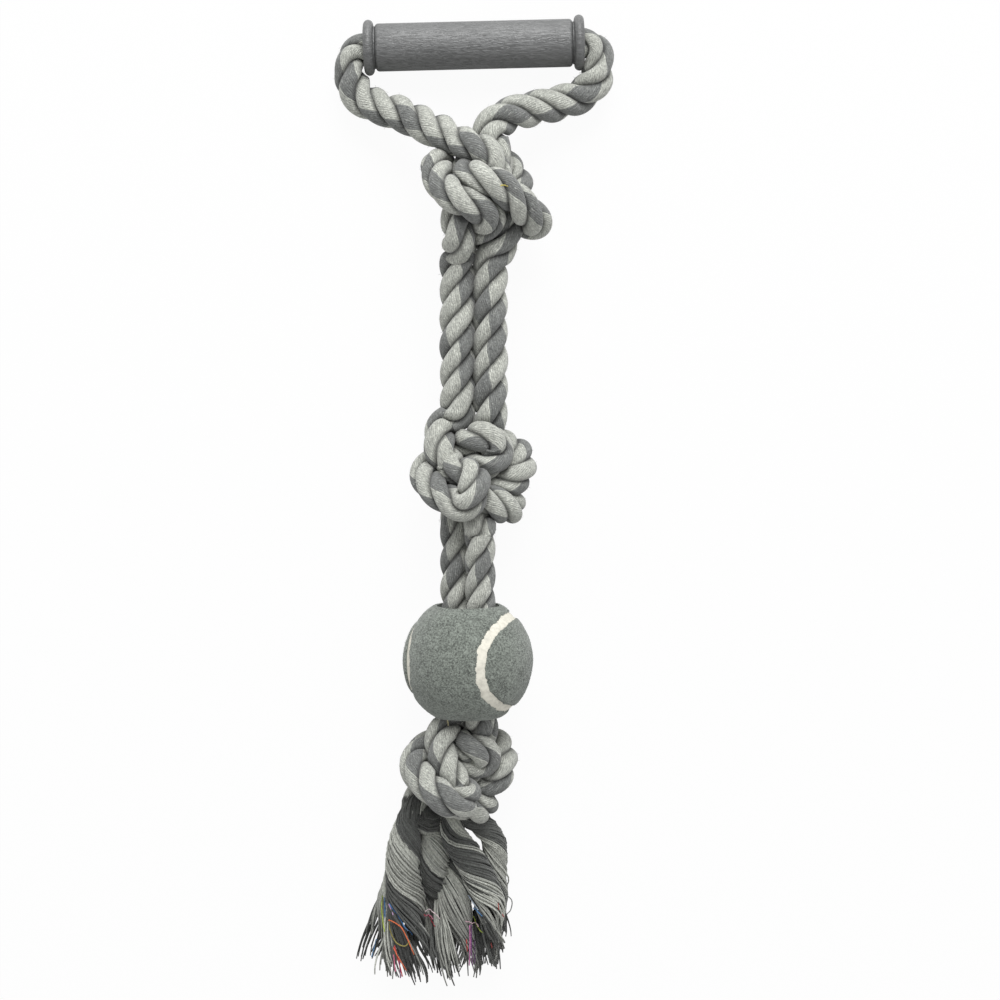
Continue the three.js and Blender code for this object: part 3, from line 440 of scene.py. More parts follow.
# %% Curves through points, and where the knots are cut
def smooth_line(points):
    """A centripetal Catmull-Rom curve through the points."""
    points = np.asarray(points, float)
    last = len(points) - 1
    line = []
    for i in range(last):
        b, c = points[i], points[i + 1]
        a = points[i - 1] if i > 0 else 2 * b - c
        d = points[i + 2] if i + 1 < last else 2 * c - b
        t1 = math.sqrt(np.linalg.norm(b - a))
        t2 = t1 + math.sqrt(np.linalg.norm(c - b))
        t3 = t2 + math.sqrt(np.linalg.norm(d - c))
        t = (t1 + (t2 - t1) * np.arange(SPAN_STEPS) / SPAN_STEPS)[:, None]
        ab = a + (b - a) * t / t1
        bc = b + (c - b) * (t - t1) / (t2 - t1)
        cd = c + (d - c) * (t - t2) / (t3 - t2)
        abc = ab + (bc - ab) * t / t2
        bcd = bc + (cd - bc) * (t - t1) / (t3 - t1)
        line.append(abc + (bcd - abc) * (t - t1) / (t2 - t1))
    return np.vstack(line + [points[-1:]])


def cut_knot(rope, shape):
    """The beads between the knot's two cuts, and the tails' beads below and above it."""
    y, at, spacing = rope[:, 1], shape["at"][1], shape["spacing"]
    first = int(np.argmax(y > at - shape["below"]["cut"] * spacing))
    last = len(rope) - 1 - int(np.argmax((y < at + shape["above"]["cut"] * spacing)[::-1]))
    below = [p for p in rope[:first] if p[1] > at - 3 * spacing]
    above = [p for p in rope[last + 1:] if p[1] < at + 3 * spacing]
    return list(rope[first:last + 1]), below, above


def joined(below, above):
    """A straight leg from one knot's tail to the next knot's tail."""
    way = above[0] - below[-1]
    return below + [below[-1] + share * way for share in (0.08, 0.25, 0.5, 0.75, 0.92)] + above


def rope_side(side):
    """One of the two ropes from the bottom knot to the top knot, as named stretches."""
    top, below_top, _ = cut_knot(tied["top"][side], KNOTS["top"])
    middle, below_middle, above_middle = cut_knot(tied["middle"][side], KNOTS["middle"])
    bottom, _, above_bottom = cut_knot(tied["bottom"][side], KNOTS["bottom"])
    return [
        ("bottom_knot", bottom),
        ("lower_leg", joined(above_bottom, below_middle)),
        ("middle_knot", middle),
        ("upper_leg", joined(above_middle, below_top)),
        ("top_knot", top),
    ]


ends = [shape["below"]["cut"] for shape in KNOTS.values()]
print("the knots end", ends, "spacings below their middles")

# %% The one line of the rope
def named(name, hand):
    return f"{name}_{hand}" if name.endswith("leg") else f"{name}_{hand}_rope"


stretches = [(named(name, "left"), points) for name, points in rope_side(0)]
stretches.append(("rope_loop", loop_points))
stretches += [(named(name, "right"), points[::-1]) for name, points in rope_side(1)[::-1]]
cad_line = smooth_line([p for _, points in stretches for p in points])
cad_lengths = lengths_along(cad_line)
starts = np.cumsum([0] + [len(points) for _, points in stretches]) * SPAN_STEPS
cuts = cad_lengths[np.minimum(starts, len(cad_line) - 1)]
SPANS = {name: (cuts[i], cuts[i + 1]) for i, (name, _) in enumerate(stretches)}
print("the rope is", round(cad_lengths[-1]), "mm long, in", len(SPANS), "pieces")

# %% [markdown]
# ## The rope's surface
#
# The rope has three strands laid round each other. A surface like that could be made by twisting
# three tubes together, but soft strands aren't round tubes: they flatten on each other and meet in a
# narrow crease. So the whole rope is one tube whose cross-section has three lobes, and the lobes turn
# once in each lay length. In the knots the ropes press on each other: there each ring reaches only as
# far as the plane halfway to its neighbour, so that two ropes meet in a flat face as the real ones do.

# %% How thick the rope is along its way
LAY = 41.0
FREE_RADIUS = 9.0
END_RADIUS = 5.6
KNOT_RADIUS = 8.3
KNOT_MOUTH = 11.0
BALL_RADIUS = 7.75
GRIP_RADIUS = 8.5
RIM_RADIUS = 7.5
SQUEEZED_PAST = 3
EASED_OVER = 7
SQUEEZES = [(0, 2, END_RADIUS), (cad_lengths[-1] - 2, cad_lengths[-1], END_RADIUS)]
for name, (start, end) in SPANS.items():
    if "knot" in name:
        SQUEEZES.append((start + KNOT_MOUTH, end - KNOT_MOUTH, KNOT_RADIUS))
    if "lower_leg" in name:
        SQUEEZES.append((start, end, BALL_RADIUS))
loop_first = int(starts[[name for name, _ in stretches].index("rope_loop")])
left_turn = loop_first + len(LEFT_ARM) * SPAN_STEPS
right_turn = left_turn + (ARM_TURN_STEPS + 1 + 2 * len(BORE_POINTS)) * SPAN_STEPS
turn_steps = ARM_TURN_STEPS * SPAN_STEPS
for first, last, tight in (
    (left_turn, left_turn + turn_steps, RIM_RADIUS), (right_turn, right_turn + turn_steps, RIM_RADIUS),
    (left_turn + turn_steps, right_turn, GRIP_RADIUS),
):
    SQUEEZES.append((cad_lengths[first], cad_lengths[last], tight))


def rope_radius(s):
    """The free radius, eased to the tight one wherever the rope is squeezed."""
    radius = np.full(len(s), FREE_RADIUS)
    for start, end, tight in SQUEEZES:
        away = np.maximum(np.maximum(start - s, s - end) - SQUEEZED_PAST, 0)
        radius = np.minimum(radius, tight + (FREE_RADIUS - tight) * ease(away / EASED_OVER))
    return radius


print("the rope is", 2 * FREE_RADIUS, "mm thick, and", 2 * BALL_RADIUS, "mm in the ball")

# %% The line made even and smooth, with a side carried along it
LINE_STEP = 0.5
SMOOTH_REACH = 14
SMOOTH_WIDTH = 4.5
line_count = int(cad_lengths[-1] / LINE_STEP) + 1
line_s = np.linspace(0, cad_lengths[-1], line_count)
line = np.stack([np.interp(line_s, cad_lengths, cad_line[:, k]) for k in range(3)], 1)
weights = np.exp(-0.5 * (np.arange(-SMOOTH_REACH, SMOOTH_REACH + 1) / SMOOTH_WIDTH) ** 2)
weights /= weights.sum()
before = line[0] - (line[1] - line[0]) * np.arange(SMOOTH_REACH, 0, -1)[:, None]
after = line[-1] + (line[-1] - line[-2]) * np.arange(1, SMOOTH_REACH + 1)[:, None]
longer = np.vstack([before, line, after])
line = np.stack([np.convolve(longer[:, k], weights, "valid") for k in range(3)], 1)
line_tangents = tangents_along(line)
line_sides = carried_sides(line_tangents, np.array([1.0, 0.0, 0.0]))
line_radii = rope_radius(line_s)
LEGS_CLOSER = 0.85
INTO_KNOTS = 9
LEG_EASED_OVER = 10


def leg_share(s, side):
    """1 along one upper leg and a little way into both knots, and 0 elsewhere."""
    start, end = SPANS[f"upper_leg_{side}"]
    at_start = ease((s - start + INTO_KNOTS) / LEG_EASED_OVER)
    return at_start * ease((end + INTO_KNOTS - s) / LEG_EASED_OVER)


for side, way in (("left", 1), ("right", -1)):
    line[:, 0] += way * LEGS_CLOSER * leg_share(line_s, side)
print("line of", line_count, "points")

# %% [markdown]
# Where the strands' creases come out on each leg is read from the photograph: the two legs lie like
# two gears, the crowns of one in the creases of the other. At the rope's two ends the strands lead
# straight into the loose hanks. In between the lay gives a little, so all of this fits.

# %% Where the creases come out
SEAT_ANGLE = math.radians(30)


def turns_for(s, direction, angle):
    """Turns, up to thirds, that put a strand's crown or crease in a direction."""
    k = int(np.argmin(np.abs(line_s - s)))
    up = np.cross(line_tangents[k], line_sides[k])
    seen = math.atan2(np.dot(direction, up), np.dot(direction, line_sides[k]))
    return (seen - math.radians(angle)) / (2 * math.pi)


def s_at_height(name, y):
    """How far along the rope a leg passes a height in the picture."""
    start, end = SPANS[name]
    on_leg = np.where((line_s > start) & (line_s < end))[0]
    return line_s[on_leg[np.argmin(np.abs(line[on_leg, 1] - y))]]


def seat_direction(tangent):
    """The direction of one strand where the rope opens into its hanks."""
    across = np.array([1.0, 0, 0]) - tangent[0] * tangent
    across /= np.linalg.norm(across)
    up = np.cross(tangent, across)
    return math.cos(SEAT_ANGLE) * across + math.sin(SEAT_ANGLE) * up


LEFT_CREASE_Y = 342.8
RIGHT_CREASE_Y = 350.0
CREASE_ANGLE = 60
rope_end = cad_lengths[-1]
FITS = [
    (0.0, 0.0, 0.0, seat_direction(-line_tangents[0]), 0),
    (*SPANS["upper_leg_left"], s_at_height("upper_leg_left", LEFT_CREASE_Y), (-1, 0, 0), CREASE_ANGLE),
    (*SPANS["upper_leg_right"], s_at_height("upper_leg_right", RIGHT_CREASE_Y), (1, 0, 0), CREASE_ANGLE),
    (rope_end, rope_end, rope_end, seat_direction(line_tangents[-1]), 0),
]
shift = 0.0
shift_s, shifts = [], []
for start, end, at, direction, angle in FITS:
    off = (turns_for(at, direction, angle) - at / LAY - shift) * 3
    shift += (off - round(off)) / 3
    shift_s += [start, end + 0.001]
    shifts += [shift, shift]
line_turns = line_s / LAY + np.interp(line_s, shift_s, shifts)
print("the lay gives", np.round(shifts[::2], 2), "turns at", np.round(shift_s[::2]), "mm")

# %% The three-lobed cross-section
LOBE_STEPS = 28
LOBE_WIDE = 0.58
lobe_angles = math.radians(60) * np.sin(math.pi / 2 * np.linspace(-1, 1, LOBE_STEPS + 1))
flattened = (0.5 / LOBE_WIDE * np.sin(lobe_angles)) ** 2
lobe_reach = np.cos(lobe_angles) / (np.cos(lobe_angles) ** 2 + flattened)
lobe_around = np.arctan2(
    lobe_reach * np.sin(lobe_angles) / LOBE_WIDE, (lobe_reach * np.cos(lobe_angles) - 0.5) / 0.5
) / (2 * math.pi)
# lobe_crease is 1 in the creases between strands: it holds the swell back there and marks where painted
# crease shade goes.
lobe_crease = ease((np.abs(np.degrees(lobe_angles)) - 40) / 20)
around_angles = np.concatenate([lobe_angles[:-1] + k * math.radians(120) for k in range(3)])
around_reach, around_crease = np.tile(lobe_reach[:-1], 3), np.tile(lobe_crease[:-1], 3)
AROUND = len(around_angles)
print("the crease between strands is", round(FREE_RADIUS * (1 - lobe_reach[0]), 1), "mm deep")

# %% The room that each ring of the rope has
THINNED = 4
NEIGHBOURHOOD = 20
SAME_STRETCH = 26
NO_LIMIT = 99.0
LEAST_ROOM = 2.5
BALL_SLIDE = 30


def room_for(s, centres, ways, radii):
    """How far each ring may reach in each direction before it meets the rope's other stretches."""
    room = np.full(ways.shape[:2], NO_LIMIT)
    others, other_s, other_radii = line[::THINNED], line_s[::THINNED], line_radii[::THINNED]
    for i in range(len(s)):
        to_others = others - centres[i]
        square = (to_others**2).sum(1)
        near = (square < NEIGHBOURHOOD**2) & (np.abs(other_s - s[i]) > SAME_STRETCH)
        if near.any():
            along = ways[i] @ to_others[near].T
            plane = (square[near] + radii[i] ** 2 - other_radii[near] ** 2)[None, :]
            limit = np.where(along > 0.3, plane / (2 * np.maximum(along, 0.3)), NO_LIMIT)
            room[i] = limit.min(1)
    return np.maximum(room, LEAST_ROOM)


def inside_ball(points):
    """Which points lie in the ball, wherever it slides."""
    rho = np.hypot(points[:, 0] - BALL_MIDDLE[0], points[:, 2] - BALL_MIDDLE[2])
    y = points[:, 1] - BALL_MIDDLE[1]
    off_middle = y - np.clip(y, 0, BALL_SLIDE)
    in_round = np.hypot(rho, off_middle) < BALL / 2 + 0.6
    return in_round & (rho > BORE / 2 - 0.7)


print("of the line's points", int(inside_ball(line).sum()), "are inside the ball")

# %% Rings and the skin over them
RING_STEP = 1.15
SWELL = 0.022
TABLE_GAP = 0.25
# PRESSED_WITHIN, LEGS_PRESSED_WITHIN and the last constant here set painted shade where stretches of
# rope press on each other.
PRESSED_WITHIN = 1.2
LEGS_PRESSED_WITHIN = 1.8
LEGS_SINK_IN = 1.2
PRESSED_PAINTED_SHADE = 0.75


def rope_rings(start, end):
    """Evenly spaced rings along one stretch: middle, two sides, turns of the lay and radius."""
    count = max(4, int(round((end - start) / RING_STEP)) + 1)
    s = np.linspace(start, end, count)
    at = [np.interp(s, line_s, values) for values in (*line.T, *line_tangents.T, *line_sides.T)]
    centres, tangents, sides = (np.stack(at[k:k + 3], 1) for k in (0, 3, 6))
    tangents = unit(tangents)
    sides = unit(sides - (sides * tangents).sum(1)[:, None] * tangents)
    ups = np.cross(tangents, sides)
    turns = np.interp(s, line_s, line_turns)
    radii = np.interp(s, line_s, line_radii)
    return s, centres, sides, ups, turns, radii


def rope_skin(s, centres, sides, ups, turns, radii):
    """Each ring's corners, their ways out from the middle, and how much painted shade each one gets."""
    strand = np.repeat(np.arange(3), LOBE_STEPS)
    turned = around_angles[None, :] + 2 * math.pi * turns[:, None]
    ways = np.cos(turned)[:, :, None] * sides[:, None] + np.sin(turned)[:, :, None] * ups[:, None]
    swell = 1 + SWELL * np.sin(s[:, None] / 9.7 + 2.1 * strand) * np.sin(s[:, None] / 23 + strand)
    wanted = radii[:, None] * around_reach * (1 + (swell - 1) * (1 - around_crease))
    room = room_for(s, centres, ways, radii)
    on_leg = (leg_share(s, "left") + leg_share(s, "right"))[:, None]
    pressed = ease(1 - (room - wanted) / (PRESSED_WITHIN + LEGS_PRESSED_WITHIN * on_leg))
    far = np.minimum(wanted, room + LEGS_SINK_IN * on_leg)
    flat = (centres[:, None] + far[:, :, None] * ways).reshape(-1, 3)
    back = np.repeat(centres, AROUND, 0)
    for _ in range(14):
        bad = inside_ball(flat)
        flat[bad] = back[bad] + (flat[bad] - back[bad]) * 0.94
    flat[:, 2] = np.maximum(flat[:, 2], TABLE_GAP)
    # Painted shade: darker in the creases between strands and where the rope presses on another stretch
    # of it.
    dark = np.maximum(np.tile(around_crease, (len(s), 1)), PRESSED_PAINTED_SHADE * pressed)
    return flat.reshape(ways.shape), ways, dark


print("a ring every", RING_STEP, "mm with", AROUND, "corners")

# %% Faces, and which yarn runs where
STRAND_SHIFTS = (0.15, 7.85, 15.15)
YARN_TURNS_PER_LAY = 2.0
LOOP_COLOUR_TURN = 0.5
END_COLOUR_TURN = 0.8
COLOUR_TURNS = (
    [*SPANS["bottom_knot_left_rope"], *SPANS["top_knot_left_rope"],
     *SPANS["top_knot_right_rope"], *SPANS["bottom_knot_right_rope"]],
    [END_COLOUR_TURN, 0.0, 0.0, LOOP_COLOUR_TURN, LOOP_COLOUR_TURN, 0.0, 0.0, END_COLOUR_TURN],
)
strand_shift = np.repeat(STRAND_SHIFTS, LOBE_STEPS)


def skin_faces(n):
    """The faces over n rings, with a fan at each end."""
    index = np.arange(AROUND)
    after = (index + 1) % AROUND
    faces = [
        np.stack([low + index, low + after, low + AROUND + after, low + AROUND + index], 1)
        for low in range(0, (n - 1) * AROUND, AROUND)
    ]
    faces = np.vstack(faces).tolist()
    last, middle = (n - 1) * AROUND, n * AROUND
    faces += [[middle, b, a] for a, b in zip(index.tolist(), after.tolist())]
    faces += [[middle + 1, last + a, last + b] for a, b in zip(index.tolist(), after.tolist())]
    return faces


def skin_uv(s, climb):
    """Across the yarns and along them, at each face's corners."""
    u_low = np.tile(lobe_around[:-1], 3) + strand_shift
    u_high = np.tile(lobe_around[1:], 3) + strand_shift
    uv = np.empty((len(s) - 1, AROUND, 4, 2))
    lower, upper = climb[:-1, None], climb[1:, None]
    uv[:, :, 0, 0], uv[:, :, 1, 0] = u_low + lower, u_high + lower
    uv[:, :, 2, 0], uv[:, :, 3, 0] = u_high + upper, u_low + upper
    uv[:, :, :2, 1], uv[:, :, 2:, 1] = s[:-1, None, None] / 10, s[1:, None, None] / 10
    fans = np.tile([[0.1, 0], [0.1, 0.1], [0.12, 0.1]], (2 * AROUND, 1))
    return np.vstack([uv.reshape(-1, 2), fans])


print("two rings are joined by", len(skin_faces(2)) - 2 * AROUND, "faces")

# %% A mesh, and short hairs made of ribbons
def new_mesh(name, points, faces, corner_uv=None, values=None):
    """An object with its place in its mesh; points are in metres."""
    mesh = bpy.data.meshes.new(name)
    mesh.from_pydata([tuple(p) for p in points], [], faces)
    if corner_uv is not None:
        layer = mesh.uv_layers.new(name="Yarn")
        layer.data.foreach_set("uv", np.asarray(corner_uv, np.float32).ravel())
    for key, value in (values or {}).items():
        attribute = mesh.attributes.new(key, "FLOAT", "POINT")
        attribute.data.foreach_set("value", np.asarray(value, np.float32))
    mesh.polygons.foreach_set("use_smooth", [True] * len(mesh.polygons))
    mesh.update()
    made = bpy.data.objects.new(name, mesh)
    scene.collection.objects.link(made)
    return made


def ribbons(roots, ways, ups, lengths, width, lift):
    """Two-piece ribbons that leave the surface and bend back to it."""
    asides = np.cross(ways, ups)
    points, faces = [], []
    for share, high, half in ((0.0, 0.0, 1.0), (0.5, 1.0, 0.8), (1.0, 1.3, 0.25)):
        middle = roots + lengths[:, None] * share * ways + (lift * lengths)[:, None] * high * ups
        points += [middle - half * width / 2 * asides, middle + half * width / 2 * asides]
    points = np.stack(points, 1)
    for i in range(len(roots)):
        faces += [(low, low + 1, low + 3, low + 2) for low in (6 * i, 6 * i + 2)]
    return points.reshape(-1, 3), faces


print("each hair is a ribbon of two faces")

# %% Building one stretch of rope
FUZZ_EVERY = 9.0
ROUND_SHARE = 6
HAIR_WIDTH = 0.13
fuzz_random = np.random.default_rng(3)


def hairs_on(points, ways, dark, count):
    """Short hairs at random corners out of the creases; rows and columns say which corners."""
    n, m = dark.shape
    rows, columns = fuzz_random.integers(1, n - 1, count), fuzz_random.integers(0, m, count)
    rows, columns = (v[dark[rows, columns] < 0.3] for v in (rows, columns))
    clear = ~inside_ball(points[rows, columns] + 1.5 * ways[rows, columns])
    rows, columns = rows[clear], columns[clear]
    out = ways[rows, columns]
    over = unit(points[rows + 1, columns] - points[rows - 1, columns])
    swing = fuzz_random.uniform(-1.4, 1.4, len(rows))[:, None]
    way = fuzz_random.choice([-1, 1], len(rows))[:, None] * over + swing * np.cross(out, over)
    way = unit(way - (way * out).sum(1)[:, None] * out)
    long = fuzz_random.uniform(0.7, 2.6, len(rows))
    lift = fuzz_random.uniform(0.05, 0.40, len(rows))
    roots = points[rows, columns] - 0.1 * out
    hair_points, hair_faces = ribbons(roots, way, out, long, HAIR_WIDTH, lift)
    hair_points[:, 2] = np.maximum(hair_points[:, 2], 0.1)
    return hair_points, hair_faces, rows, columns


def rope_stretch(name, start, end):
    """One stretch of rope with its yarns' places, its painted shade in the creases and pressed places,
    and its hairs.
    """
    s, centres, sides, ups, turns, radii = rope_rings(start, end)
    points, ways, dark = rope_skin(s, centres, sides, ups, turns, radii)
    climb = YARN_TURNS_PER_LAY * turns + np.interp(s, *COLOUR_TURNS)
    hairs = int((end - start) * ROUND_SHARE * radii.mean() / FUZZ_EVERY)
    hair_points, hair_faces, rows, columns = hairs_on(points, ways, dark, hairs)
    hair_u = np.repeat(lobe_around[columns % LOBE_STEPS] + strand_shift[columns] + climb[rows], 8)
    hair_v = np.repeat(s[rows] / 10, 8) + np.tile([0, 0, 0.05, 0.05, 0.05, 0.05, 0.1, 0.1], len(rows))
    corner_uv = np.vstack([skin_uv(s, climb), np.stack([hair_u, hair_v], 1)])
    n = len(s)
    first = n * AROUND + 2
    faces = skin_faces(n) + [[first + v for v in face] for face in hair_faces]
    all_points = np.vstack([points.reshape(-1, 3), centres[:1], centres[-1:], hair_points])
    # The shade attribute is painted shade: creases and pressed places from rope_skin, full at the end
    # fans' middles, none on the hairs.
    made = new_mesh(name, in_frame(all_points), faces, corner_uv, {
        "Painted shade": np.concatenate([dark.ravel(), [1, 1], np.zeros(len(hair_points))]),
    })
    ends = np.empty(2 * len(made.data.edges), int)
    made.data.edges.foreach_get("vertices", ends)
    ends = ends.reshape(-1, 2)
    at_cut = (ends < AROUND).all(1) | ((ends >= (n - 1) * AROUND) & (ends < n * AROUND)).all(1)
    made.data.edges.foreach_set("use_edge_sharp", at_cut)
    return made, in_frame(centres)


print("about one hair for every", FUZZ_EVERY, "square mm")

# %% All the stretches, each on its body
BODY_OF = {
    "bottom_knot": "ball_end", "lower_leg": "ball_end", "middle_knot": "ball_end",
    "top_knot": "top_knot",
}
loop_last = int(starts[[name for name, _ in stretches].index("rope_loop") + 1])
left_cut = cad_lengths[loop_first + 4 * SPAN_STEPS]
right_cut = cad_lengths[loop_last - 5 * SPAN_STEPS]
PIECES = []
for name, (start, end) in SPANS.items():
    if name == "rope_loop":
        PIECES.append(("loop_arm_left", name, start, left_cut))
        PIECES.append((name, name, left_cut, right_cut))
        PIECES.append(("loop_arm_right", name, right_cut, end))
    else:
        PIECES.append((name, name, start, end))
ropes, paths = {}, {}
for name, node, start, end in PIECES:
    rope, path = rope_stretch(name + "_laid", start, end)
    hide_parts(node)
    ropes[name], paths[name] = rope, path
    kind = name.rsplit("_", 2)[0] if name.endswith("rope") else name.rsplit("_", 1)[0]
    if kind in BODY_OF:
        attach(rope, BODY_OF[kind])
for hand in ("left", "right"):
    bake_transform(ropes[f"upper_leg_{hand}"])
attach(ropes["rope_loop"], "handle_loop")
# Both arms keep their place baked into their meshes. The right one's path comes from the grip, so it is
# taken reversed, but nothing uses either path.
for name, order in (("loop_arm_left", 1), ("loop_arm_right", -1)):
    path = paths[name][::order]
    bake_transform(ropes[name])

# %% [markdown]
# ## Does the line agree with the CAD model?
#
# The CAD solids of the rope are plain tubes. If the line here is the same as theirs, each of their
# corners is one tube radius away from it.

# %% Distance from the CAD tubes' corners to the line
for name, (start, end) in SPANS.items():
    corners = np.array([v.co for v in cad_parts[name].data.vertices])[::7]
    stretch = in_frame(line[(line_s >= start - 1) & (line_s <= end + 1)])
    away = np.sqrt(((corners[:, None] - stretch[None]) ** 2).sum(2)).min(1) / MM
    print(name, "from", round(away.min(), 2), "to", round(away.max(), 2), "mm")

# %% [markdown]
# ## Finishes
#
# Everything here is matt and soft except the grip. A helper adds one node and links or sets what goes
# into it, so that a pattern reads as a short sum. Patterns that more than one material uses are node
# groups. The colour of cotton never comes from one flat value: each yarn differs a little, fibres
# catch the light, and painted shade darkens the creases between strands, the grooves between yarns
# and the places where ropes press on each other.

# %% Small helpers for node trees
def linear(red, green, blue):
    """A colour as it looks on a screen, 0 to 255, in the values that Blender mixes."""
    share = [v / 255 for v in (red, green, blue)]
    return [v / 12.92 if v < 0.04 else ((v + 0.055) / 1.055) ** 2.4 for v in share] + [1.0]


def feed(tree, value, socket):
    """A node's output is linked to the socket; a constant is set on it."""
    if isinstance(value, bpy.types.NodeSocket):
        tree.links.new(value, socket)
    elif socket.type == "VECTOR":
        socket.default_value = value[:3]
    else:
        socket.default_value = value


def calc(tree, operation, *values):
    """One step of arithmetic."""
    node = tree.nodes.new("ShaderNodeMath")
    node.operation = operation
    for value, socket in zip(values, node.inputs):
        feed(tree, value, socket)
    return node.outputs[0]


def mixed(tree, share, first, second, way="MIX"):
    node = tree.nodes.new("ShaderNodeMix")
    node.data_type = "RGBA"
    node.blend_type = way
    for value, k in ((share, 0), (first, 6), (second, 7)):
        feed(tree, value, node.inputs[k])
    return node.outputs[2]


def shaded(tree, colour, share):
    """The colour made darker or lighter, as one number says."""
    node = tree.nodes.new("ShaderNodeVectorMath")
    node.operation = "SCALE"
    feed(tree, colour, node.inputs[0])
    feed(tree, share, node.inputs["Scale"])
    return node.outputs[0]


def noise(tree, place, scale, detail=2.0, rough=0.5, bent=0.0):
    node = tree.nodes.new("ShaderNodeTexNoise")
    for value, key in ((place, "Vector"), (scale, "Scale"), (detail, "Detail"), (rough, "Roughness")):
        feed(tree, value, node.inputs[key])
    node.inputs["Distortion"].default_value = bent
    return node.outputs["Fac"]


def between(tree, value, low, high, to_low, to_high):
    """The value taken smoothly from one range to another."""
    node = tree.nodes.new("ShaderNodeMapRange")
    node.interpolation_type = "SMOOTHSTEP"
    for each, k in zip((value, low, high, to_low, to_high), range(5)):
        feed(tree, each, node.inputs[k])
    return node.outputs[0]


def combined(tree, *values):
    node = tree.nodes.new("ShaderNodeCombineXYZ")
    for value, socket in zip(values, node.inputs):
        feed(tree, value, socket)
    return node.outputs[0]


def stretched(tree, place, *scales):
    node = tree.nodes.new("ShaderNodeMapping")
    feed(tree, place, node.inputs["Vector"])
    node.inputs["Scale"].default_value = scales
    return node.outputs[0]


print("helpers for single nodes ready")

# %% Helpers for groups and materials
def new_group(name, wanted, given):
    """A node group; wanted and given are lists of a socket's name and kind."""
    group = bpy.data.node_groups.new(name, "ShaderNodeTree")
    for key, kind in wanted:
        group.interface.new_socket(key, in_out="INPUT", socket_type="NodeSocket" + kind)
    for key, kind in given:
        group.interface.new_socket(key, in_out="OUTPUT", socket_type="NodeSocket" + kind)
    return group, group.nodes.new("NodeGroupInput").outputs, group.nodes.new("NodeGroupOutput").inputs


def placed_group(tree, group, **values):
    node = tree.nodes.new("ShaderNodeGroup")
    node.node_tree = group
    for key, value in values.items():
        feed(tree, value, node.inputs[key])
    return node.outputs


def new_material(name, roughness, specular=0.2, sheen=0.0):
    """A material, its tree, its shader's inputs and the place on the object."""
    material = bpy.data.materials.new(name)
    material.use_nodes = True
    shader = material.node_tree.nodes["Principled BSDF"]
    shader.inputs["Roughness"].default_value = roughness
    shader.inputs["Specular IOR Level"].default_value = specular
    shader.inputs["Sheen Weight"].default_value = sheen
    shader.inputs["Sheen Roughness"].default_value = 0.6
    place = material.node_tree.nodes.new("ShaderNodeTexCoord").outputs["Object"]
    return material, material.node_tree, shader.inputs, place


def attribute(tree, name, output):
    node = tree.nodes.new("ShaderNodeAttribute")
    node.attribute_name = name
    return node.outputs[output]


def finish(tree, shader, colour, tone, height, deep, strength):
    """The shader's colour times its tone, and its relief; deep is in metres."""
    tree.links.new(shaded(tree, colour, tone), shader["Base Color"])
    bump = tree.nodes.new("ShaderNodeBump")
    bump.inputs["Strength"].default_value = strength
    bump.inputs["Distance"].default_value = deep
    feed(tree, height, bump.inputs["Height"])
    tree.links.new(bump.outputs[0], shader["Normal"])


print("helpers for groups and materials ready")

# %% The group for fuzz: short fibres that lie every way
fuzz, inside, out = new_group(
    "Fuzz", [("Place", "Vector"), ("Fineness", "Float"), ("Amount", "Float")],
    [("Shade", "Float"), ("Height", "Float")],
)
fine = noise(fuzz, inside["Place"], inside["Fineness"], 2.0, 0.85)
coarse = noise(fuzz, inside["Place"], calc(fuzz, "MULTIPLY", inside["Fineness"], 0.23))
both = calc(fuzz, "ADD", calc(fuzz, "MULTIPLY", fine, 0.85), calc(fuzz, "MULTIPLY", coarse, 0.15))
sharper = between(fuzz, both, 0.32, 0.68, -1.0, 1.0)
fuzz.links.new(calc(fuzz, "MULTIPLY_ADD", sharper, inside["Amount"], 1.0), out["Shade"])
fuzz.links.new(both, out["Height"])
print("group", fuzz.name)

# %% The group for laid yarns: light and dark yarns side by side in each strand
laid, inside, out = new_group(
    "Laid yarns",
    [("Yarn", "Vector"), ("Painted shade", "Float"), ("Light", "Color"), ("Dark", "Color"),
     ("Dark share", "Float"), ("Yarns round", "Float")],
    [("Color", "Color"), ("Height", "Float")],
)
parts = laid.nodes.new("ShaderNodeSeparateXYZ")
laid.links.new(inside["Yarn"], parts.inputs[0])
around, along = parts.outputs[0], parts.outputs[1]
wander = noise(laid, combined(laid, calc(laid, "MULTIPLY", around, 2.0), along, 0.0), 1.3, 2.0)
strayed = calc(laid, "MULTIPLY_ADD", wander, 0.05, around)
threads = calc(laid, "MULTIPLY", strayed, inside["Yarns round"])
number = calc(laid, "FLOOR", threads)
across = calc(laid, "FRACT", threads)
off_crest = calc(laid, "ABSOLUTE", calc(laid, "MULTIPLY_ADD", across, 2.0, -1.0))
ridge = calc(laid, "SUBTRACT", 1.0, calc(laid, "POWER", off_crest, 2.5))
own_noise = laid.nodes.new("ShaderNodeTexWhiteNoise")
own_noise.noise_dimensions = "1D"
laid.links.new(number, own_noise.inputs["W"])
own = own_noise.outputs["Value"]
in_turn = calc(laid, "FRACT", calc(laid, "DIVIDE", number, inside["Yarns round"]))
off_middle = calc(laid, "ABSOLUTE", calc(laid, "SUBTRACT", in_turn, 0.5))
uneven = calc(laid, "MULTIPLY_ADD", own, 0.02, off_middle)
is_dark = calc(laid, "LESS_THAN", uneven, calc(laid, "MULTIPLY_ADD", inside["Dark share"], 0.5, 0.01))
streak_place = combined(
    laid, calc(laid, "MULTIPLY_ADD", along, 3.0, calc(laid, "MULTIPLY", threads, 1.7)),
    calc(laid, "MULTIPLY", along, 4.2), number,
)
streak = noise(laid, streak_place, 1.0, 3.0, 0.75)
